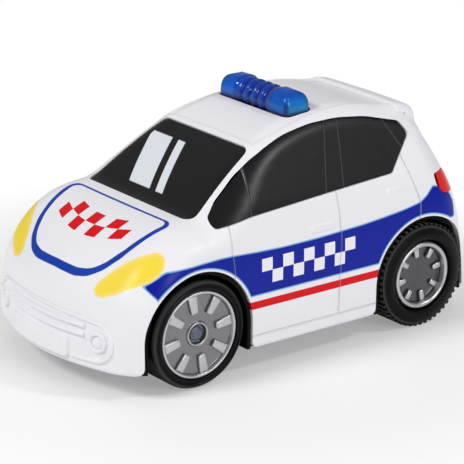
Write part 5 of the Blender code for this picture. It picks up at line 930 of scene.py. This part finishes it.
spring_heights = coordinates(spring.data)[:, 2] / MM
print("spring from", round(spring_heights.min(), 2), "to", round(spring_heights.max(), 2), "mm")

# %% Everything that doesn't move goes with the car
for fixed in (shell, windscreen, rear_screen, *side_windows, *tail_lamps):
    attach(fixed, "car")

# %% [markdown]
# ## Finishes
# Shader sums are written as Python expressions: a Value wraps a socket and
# overloads the operators, and one method makes any other node.

# %% Values and looks
class Value:
    """A socket that can be reckoned with."""

    def __init__(self, look, socket):
        self.look, self.socket = look, socket

    def reckon(self, operation, *others, clamp=False):
        settings = {"operation": operation, "use_clamp": clamp}
        return self.look.node("ShaderNodeMath", settings, dict(enumerate((self, *others))))

    def __add__(self, other): return self.reckon("ADD", other)
    def __radd__(self, other): return self.reckon("ADD", other)
    def __sub__(self, other): return self.reckon("SUBTRACT", other)
    def __rsub__(self, other): return (self * -1) + other
    def __mul__(self, other): return self.reckon("MULTIPLY", other)
    def __rmul__(self, other): return self.reckon("MULTIPLY", other)
    def __truediv__(self, other): return self.reckon("DIVIDE", other)
    def __abs__(self): return self.reckon("ABSOLUTE")
    def clamp(self): return self.reckon("ADD", 0.0, clamp=True)
    def least(self, other): return self.reckon("MINIMUM", other)
    def most(self, other): return self.reckon("MAXIMUM", other)
    def inside(self, edge=0.12): return ((self * (-0.5 / edge)) + 0.5).clamp()


class Look:
    """A material under construction."""

    def __init__(self, name):
        self.material = bpy.data.materials.new(name)
        self.material.use_nodes = True
        self.tree = self.material.node_tree
        self.shader = self.tree.nodes["Principled BSDF"]

    def node(self, kind, settings=None, inputs=None, output=0):
        made = self.tree.nodes.new(kind)
        for key, value in (settings or {}).items():
            setattr(made, key, value)
        for key, value in (inputs or {}).items():
            self.feed(made.inputs[key], value)
        return Value(self, made.outputs[output])

    def feed(self, socket, value):
        if isinstance(value, Value):
            self.tree.links.new(value.socket, socket)
        elif isinstance(value, tuple) and socket.type == "RGBA":
            socket.default_value = (*value, 1)
        else:
            socket.default_value = value

    def set(self, **inputs):
        for key, value in inputs.items():
            self.feed(self.shader.inputs[key.replace("_", " ")], value)
        return self

    def place(self):
        """The point in the piece's own frame, in millimetres."""
        point = self.node("ShaderNodeTexCoord", output="Object")
        scaled = self.node("ShaderNodeVectorMath", {"operation": "SCALE"}, {0: point, "Scale": 1000.0})
        return scaled, *self.split(scaled)

    def split(self, vector):
        whole = self.node("ShaderNodeSeparateXYZ", inputs={0: vector})
        outputs = whole.socket.node.outputs
        return tuple(Value(self, outputs[i]) for i in range(3))

    def kept(self, name):
        """Three numbers kept on the mesh's points."""
        return self.split(self.node("ShaderNodeAttribute", {"attribute_name": name}, output="Vector"))

    def noise(self, point, scale, detail=3.0, rough=0.5):
        settings = {"Vector": point, "Scale": scale, "Detail": detail, "Roughness": rough}
        return self.node("ShaderNodeTexNoise", inputs=settings)

    def mix(self, factor, first, second):
        return self.node("ShaderNodeMix", {"data_type": "RGBA"}, {0: factor, 6: first, 7: second}, 2)

    def bump(self, height, strength, distance):
        """A bump from a height in millimetres."""
        inputs = {"Height": height, "Strength": strength, "Distance": distance}
        return self.node("ShaderNodeBump", inputs=inputs)


def wear(look, point, rough, spread=0.08, scale=0.35):
    """Roughness that varies as handling and mould polish leave it."""
    cloud = look.noise(point, scale, 4.0)
    fine = look.noise(point, scale * 9, 2.0)
    return (cloud - 0.5) * (2 * spread) + (fine - 0.5) * spread + rough


def moulded(name, colour, rough, grain=0.012, coat=0.0, metal=0.0, tint=0.06):
    """Moulded plastic or metal with cloudy colour, worn sheen and fine grain."""
    look = Look(name)
    point, _, _, _ = look.place()
    cloud = look.noise(point, 0.12, 3.0)
    darker = tuple(c * (1 - tint) for c in colour)
    look.set(Base_Color=look.mix(cloud, darker, colour), Roughness=wear(look, point, rough))
    look.set(Coat_Weight=coat, Metallic=metal)
    grains = look.noise(point, 5.0, 2.0) * grain
    look.set(Normal=look.bump(grains, 0.6, 0.001))
    return look


# %% Give a finish to a piece or to a CAD node
def wear_finish(made, look):
    made.data.materials.clear()
    made.data.materials.append(look.material)


# %% [markdown]
# ### White shell with its prints
# Glossy white plastic, a little cool. The prints are flat ink: a blue band with a thin lighter edge, a red
# stripe, a blue line round the hood, sprayed yellow headlamps with a soft edge, and generic check patterns.
# The door seams and the sill groove are painted a little darker as shade, with a painted highlight along
# the far edge of each door and quarter seam.

# %% The shell's look
BLUE = (0.002, 0.012, 0.31)
HOOD_BLUE = (0.004, 0.045, 0.38)
RED = (0.68, 0.004, 0.008)
WHITE = (0.85, 0.845, 0.88)
YELLOW = (0.90, 0.68, 0.05)
CYAN = (0.20, 0.42, 0.72)

paint = Look("shell_print")
point, across, _, up = paint.place()
_, along_row, _ = paint.split(point)
along = along_row - FRONT_AXLE_Y / MM
band_d, lamp_d, run_d = paint.kept("prints")
outer_d, inner_d, _ = paint.kept("hood")
front_seam, rear_seam, quarter_seam = paint.kept("seams")
cloud = paint.noise(point, 0.08, 3.0)
colour = paint.mix(cloud, (0.82, 0.815, 0.85), WHITE)
side_face = (abs(across) - 30).inside(0.5) * -1 + 1


def between(value, low, high, edge=0.1):
    """1 between two places, with a thin soft edge."""
    return (abs(value - (low + high) / 2) - (high - low) / 2).inside(edge)


for axle_along in (0.0, 100.0):
    from_axle = ((along - axle_along) * (along - axle_along) + (up - 19.3) * (up - 19.3)).reckon("SQRT")
    band_d = band_d.most(from_axle * -1 + 23.0)
colour = paint.mix(band_d.inside(), colour, CYAN)
colour = paint.mix((band_d + 0.45).inside(), colour, BLUE)
stripe = between(up, 23.5, 26.3) * between(along, 8.0, 92.0) * side_face
colour = paint.mix(stripe, colour, RED)


def checks(u, v, cell, columns, rows):
    """A generic check pattern that starts at zero in both directions."""
    column = (u / cell).reckon("FLOOR")
    row = (v / cell).reckon("FLOOR")
    odd = ((column + row) / 2).reckon("FRACT")
    field = between(u, 0.03, columns * cell - 0.03, 0.03) * between(v, 0.03, rows * cell - 0.03, 0.03)
    return (odd * 2).clamp() * field


door_checks = checks(along - 26.0, up - 31.8, 4.6, 9, 2) * side_face
colour = paint.mix(door_checks, colour, WHITE)
hood_edge = outer_d.inside() * (1 - inner_d.inside())
colour = paint.mix(hood_edge, colour, HOOD_BLUE)
hood_arc = run_d + across * across / 90
hood_checks = checks(across + 18.9, hood_arc - 16.6, 5.4, 7, 2) * outer_d.inside()
colour = paint.mix(hood_checks, colour, RED)
sprayed = (lamp_d + paint.noise(point, 1.2, 2.0) * 0.5 - 0.25).inside(0.35)
lamp_colour = paint.mix(((lamp_d + 1.6) / 1.6).clamp(), YELLOW, (0.92, 0.72, 0.18))
colour = paint.mix(sprayed, colour, lamp_colour)


def groove(distance, half=0.22):
    return (abs(distance) - half).inside(0.16)


door_zone = between(up, 13.7, 58.0)
quarter_zone = between(up, 38.0, 66.0)
seam = (groove(front_seam) * door_zone).most(groove(rear_seam) * door_zone)
seam = seam.most(groove(quarter_seam, 0.18) * quarter_zone)
sill = groove(up - 13.7, 0.3) * between(along, 18.0, 82.0)
seam = seam.most(sill) * side_face
# Painted highlight: a lighter line along the far edge of each door and quarter seam.
seam_highlight = (groove(front_seam - 0.4, 0.12) * door_zone).most(groove(rear_seam - 0.4, 0.12) * door_zone)
seam_highlight = seam_highlight.most(groove(quarter_seam - 0.3, 0.14) * quarter_zone * 1.6) * side_face
# Painted shade in the door seams and the sill groove, then the painted highlight beside them.
colour = paint.mix(seam * 0.10, colour, (0.20, 0.21, 0.30))
colour = paint.mix(seam_highlight * 0.25, colour, (0.92, 0.93, 0.98))
paint.set(Base_Color=colour, Roughness=wear(paint, point, 0.34, 0.05))
paint.set(Coat_Weight=0.03, Coat_Roughness=0.12, Specular_IOR_Level=0.16)
grain = paint.noise(point, 4.0, 2.0) * 0.006
paint.set(Normal=paint.bump(grain - seam * 0.4, 0.8, 0.001))
wear_finish(shell, paint)

# %% [markdown]
# ### Black panels
# Satin black with a soft sheen. The side windows carry thin moulded lines where the pillars would be,
# painted a lighter grey as a highlight along them, and the windscreen two plain glare bands.

# %% The panels' looks
def line_distance(along, up, low, high):
    """Signed distance across a leaning line through two (along, up) points."""
    lean = (high[0] - low[0]) / (high[1] - low[1])
    return (along - low[0] - (up - low[1]) * lean) * math.cos(math.atan(lean))


def panel_look(name, lines=(), bands=False):
    look = Look(name)
    point, across, row_y, up = look.place()
    along = row_y - FRONT_AXLE_Y / MM
    cloud = look.noise(point, 0.15, 3.0)
    colour = look.mix(cloud, (0.003, 0.003, 0.004), (0.006, 0.006, 0.007))
    height = look.noise(point, 6.0, 2.0) * 0.008
    for low, high in lines:
        # The pillar lines are moulded ridges, painted a lighter grey as a highlight.
        line = groove(line_distance(along, up, low, high), 0.3)
        colour = look.mix(line * 0.7, colour, (0.06, 0.062, 0.07))
        height = height + line * 0.35
    if bands:
        lean = across + up * 0.9
        mark = between(lean, 40.0, 52.0).most(between(lean, 55.5, 59.5))
        mark = mark * between(up, 58.0, 70.5) * (abs(across) - 22.5).inside(0.1)
        colour = look.mix(mark, colour, (0.74, 0.78, 0.83))
    look.set(Base_Color=colour, Roughness=wear(look, point, 0.34, 0.05))
    look.set(Normal=look.bump(height, 0.7, 0.001), Specular_IOR_Level=0.32)
    return look


PILLARS = (
    ((25.9, 60.4), (28.6, 69.3)), ((58.2, 57.9), (66.0, 76.6)),
    ((66.2, 58.0), (72.3, 77.8)), ((96.6, 65.6), (92.2, 75.1)),
)
wear_finish(windscreen, panel_look("windscreen_black", bands=True))
wear_finish(rear_screen, panel_look("rear_window_black"))
side_look = panel_look("side_window_black", PILLARS)
for window in side_windows:
    wear_finish(window, side_look)

# %% Lamps, hubs, tyres and light bar
lamp_look = moulded("tail_lamp_red", (0.78, 0.006, 0.006), 0.2, 0.008, coat=0.1)
lamp_look.set(Specular_IOR_Level=0.3)
for lens in tail_lamps:
    wear_finish(lens, lamp_look)


def from_axle_line(look, axle_y):
    """Millimetres out from the middle of the car, and from an axle's line."""
    _, across, row, up = look.place()
    row, up = row - axle_y / MM, up - WHEEL_RADIUS / MM
    return abs(across), (row * row + up * up).reckon("SQRT")


def hub_finish(name, axle_y, face, dish_shade=0.23):
    """Silver with raised bars and lip painted lighter as a highlight, and the dish darker as painted shade.
    """
    look = moulded(name, (0.3, 0.3, 0.32), 0.3, 0.006, metal=0.85)
    out, _ = from_axle_line(look, axle_y)
    # Painted light: what stands out past the face gets a lighter colour as a highlight, the dish a darker
    # one as shade.
    raised = ((out - face) / 0.5).clamp()
    return look.set(Base_Color=look.mix(raised, (dish_shade, dish_shade, dish_shade * 1.06), (0.55, 0.55, 0.57)))


def tyre_finish(name, axle_y, bands):
    """Black rubber, with a painted highlight: paler bands at the shoulder and on the lug tops."""
    look = moulded(name, (0.0025, 0.0025, 0.003), 0.34, 0.02, tint=0.2)
    _, radius = from_axle_line(look, axle_y)
    # Painted highlight: paler bands by radius where the shoulder and the lugs catch the light.
    highlight_band = between(radius, *bands[0], 0.3)
    for low, high in bands[1:]:
        highlight_band = highlight_band.most(between(radius, low, high, 0.1))
    look.set(Base_Color=look.mix(highlight_band, (0.0025, 0.0025, 0.003), (0.045, 0.045, 0.047)))
    return look.set(Specular_IOR_Level=0.12)


# Radii of the rear tyre's painted highlight bands: an edge line and the lug tops.
REAR_HIGHLIGHT_BANDS = ((17.7, 18.3), (18.95, 19.5))
for kind, slot_name, look in (
    ("front_hub", "hub_grey", hub_finish("hub_silver", FRONT_AXLE_Y, 41.3)),
    # The rear hub's dish is painted darker still, as shade in its deeper recess.
    ("rear_hub", "hub_grey", hub_finish("rear_hub_silver", REAR_AXLE_Y, 40.2, 0.11)),
    ("front_tyre", "tyre_black", tyre_finish("tyre_rubber", FRONT_AXLE_Y, ((18.1, 18.8),))),
    ("rear_tyre", "tyre_black", tyre_finish("rear_tyre_rubber", REAR_AXLE_Y, REAR_HIGHLIGHT_BANDS)),
):
    for name in ("left", "right"):
        wear_finish(bpy.data.objects[f"{kind}_{name}_dressed"], look)
beacon_look = moulded("beacon_blue_clear", (0.002, 0.20, 0.95), 0.08, 0.003)
# The bar's painted shade, read from the mesh: corners, foot and rib dips.
corner_shade, foot_shade, rib_shade = beacon_look.kept("beacon")
_, bar_across, _, bar_up = beacon_look.place()
# Painted highlight: the bar's end faces a brighter cyan.
bright_bar_end = ((abs(bar_across) - 18.0) / 1.2).clamp()
clear = beacon_look.mix(bright_bar_end, (0.002, 0.27, 1.0), (0.02, 0.46, 1.0))
# Painted shade: the top of the bar a darker blue.
clear = beacon_look.mix(((bar_up - 85.0) / 3.0).clamp() * 0.45, clear, (0.002, 0.08, 0.6))
# Painted shade in the rib dips, then a near-black blue at the corners and foot.
clear = beacon_look.mix(rib_shade, clear, (0.03, 0.03, 0.48))
beacon_look.set(Base_Color=beacon_look.mix(corner_shade.most(foot_shade), clear, (0.004, 0.006, 0.12)))
beacon_look.set(Transmission_Weight=0.66, IOR=1.4, Specular_IOR_Level=0.25)
wear_finish(light_bar, beacon_look)

# %% [markdown]
# ### Parts under the body
# The pan, the drive, the cells and the switch keep their CAD shapes. They get
# the finish of what they are made of, found by a word in the node's name.

# %% A look for each kind of hidden part
KINDS = {
    "pan": (("chassis", "battery_door", "battery_box", "clamp", "carrier", "case", "cover"),
            moulded("pan_plastic", (0.003, 0.003, 0.0035), 0.55, 0.03, tint=0.2)),
    "axle end": (("front_axle",), moulded("axle_steel", (0.13, 0.15, 0.20), 0.28, 0.01, metal=0.8)),
    "screw": (("screw",), moulded("screw_steel", (0.42, 0.43, 0.45), 0.34, 0.01, metal=1.0)),
    "nylon": (("gear", "pinion"), moulded("gear_nylon", (0.80, 0.79, 0.73), 0.42, 0.01)),
    "steel": (("axle", "shaft", "spring", "contact", "pin", "motor_can"),
              moulded("bright_steel", (0.55, 0.56, 0.58), 0.3, 0.01, metal=1.0)),
    "board": (("board",), moulded("board_green", (0.02, 0.17, 0.06), 0.4, 0.01)),
    "cell": (("battery", "cell"), moulded("cell_jacket", (0.22, 0.24, 0.27), 0.33, 0.01, metal=0.3)),
    "led": (("led", "lamp"), moulded("led_clear", (0.7, 0.75, 0.9), 0.12, 0.005)),
    "dark": (("puck", "speaker", "switch", "knob", "cap"),
             moulded("dark_moulding", (0.03, 0.03, 0.032), 0.6, 0.03)),
}
KINDS["pan"][1].set(Specular_IOR_Level=0.1)
wear_finish(spring, KINDS["steel"][1])
hidden = [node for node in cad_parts.values() if not node.hide_render]
for node in hidden:
    chosen = KINDS["pan"][1]
    for kind, (words, look) in KINDS.items():
        if any(word in node.name for word in words):
            chosen = look
            break
    for slot in node.material_slots:
        slot.material = chosen.material
print("kept CAD nodes:", [node.name for node in hidden])

# %% [markdown]
# ## Floor, light and camera
# A pale floor and large soft lamps, as in a product picture. The camera was
# fitted to the photograph: to the near tyres and rims, to pairs of points that
# mirror each other across the car, and to the sill.

# %% Floor
floor_bm = bmesh.new()
bmesh.ops.create_grid(floor_bm, x_segments=1, y_segments=1, size=3.0)
floor = piece("floor", floor_bm)
ground = Look("floor_white")
ground.set(Base_Color=(0.98, 0.98, 0.98), Roughness=0.6, Specular_IOR_Level=0.3)
glow = ground.node("ShaderNodeEmission", inputs={"Color": (1.0, 1.0, 1.0), "Strength": 1.0})
_, floor_x, floor_y, _ = ground.place()
reach = (floor_x * floor_x + floor_y * floor_y).reckon("SQRT")
far_share = ((reach - 70) / 110).clamp().most(0.3)
seen = ground.node("ShaderNodeLightPath", output="Is Camera Ray")
blended = ground.node("ShaderNodeMixShader", inputs={
    0: far_share * seen, 1: Value(ground, ground.shader.outputs[0]), 2: glow,
})
ground.tree.links.new(blended.socket, ground.tree.nodes["Material Output"].inputs["Surface"])
floor.data.materials.append(ground.material)

# %% Lamps and sky
def lamp_at(name, place, size, power, aim=(0, 0, 0.03)):
    data = bpy.data.lights.new(name, "AREA")
    data.shape = "DISK"
    data.size = size
    data.energy = power
    made = bpy.data.objects.new(name, data)
    made.location = place
    made.rotation_euler = (Vector(aim) - Vector(place)).to_track_quat("-Z", "Y").to_euler()
    bpy.context.scene.collection.objects.link(made)
    return made


lamp_at("key", (-0.25, -1.45, 1.35), 0.6, 20)
lamp_at("side", (1.06, 0.84, 1.48), 0.22, 7.5)
lamp_at("fill", (1.8, 0.2, 0.7), 0.8, 10.5)
world = bpy.data.worlds.new("soft_white")
bpy.context.scene.world = world
world.use_nodes = True
sky = world.node_tree.nodes["Background"].inputs
sky["Color"].default_value = (1, 1, 1, 1)
sky["Strength"].default_value = 0.3

# %% Camera
AZIMUTH, ELEVATION, ROLL = 52.287, 18.880, 0.558
CAMERA_PLACE = Vector((0.661356, -0.511055, 0.320767))
SENSOR_WIDTH, FOCAL_LENGTH = 36, 191.76
azimuth, elevation, roll = (math.radians(angle) for angle in (AZIMUTH, ELEVATION, ROLL))
back = Vector((
    math.sin(azimuth) * math.cos(elevation), -math.cos(azimuth) * math.cos(elevation), math.sin(elevation),
))
level = Vector((math.cos(azimuth), math.sin(azimuth), 0))
upright = back.cross(level)
right = level * math.cos(roll) + upright * math.sin(roll)
above = upright * math.cos(roll) - level * math.sin(roll)
view = bpy.data.cameras.new("view")
view.sensor_width = SENSOR_WIDTH
view.lens = FOCAL_LENGTH
camera = bpy.data.objects.new("view", view)
turned = Matrix((right, above, back)).transposed()
camera.matrix_world = Matrix.Translation(CAMERA_PLACE) @ turned.to_4x4()
bpy.context.scene.collection.objects.link(camera)
bpy.context.scene.camera = camera
bpy.context.scene.view_settings.view_transform = "Standard"
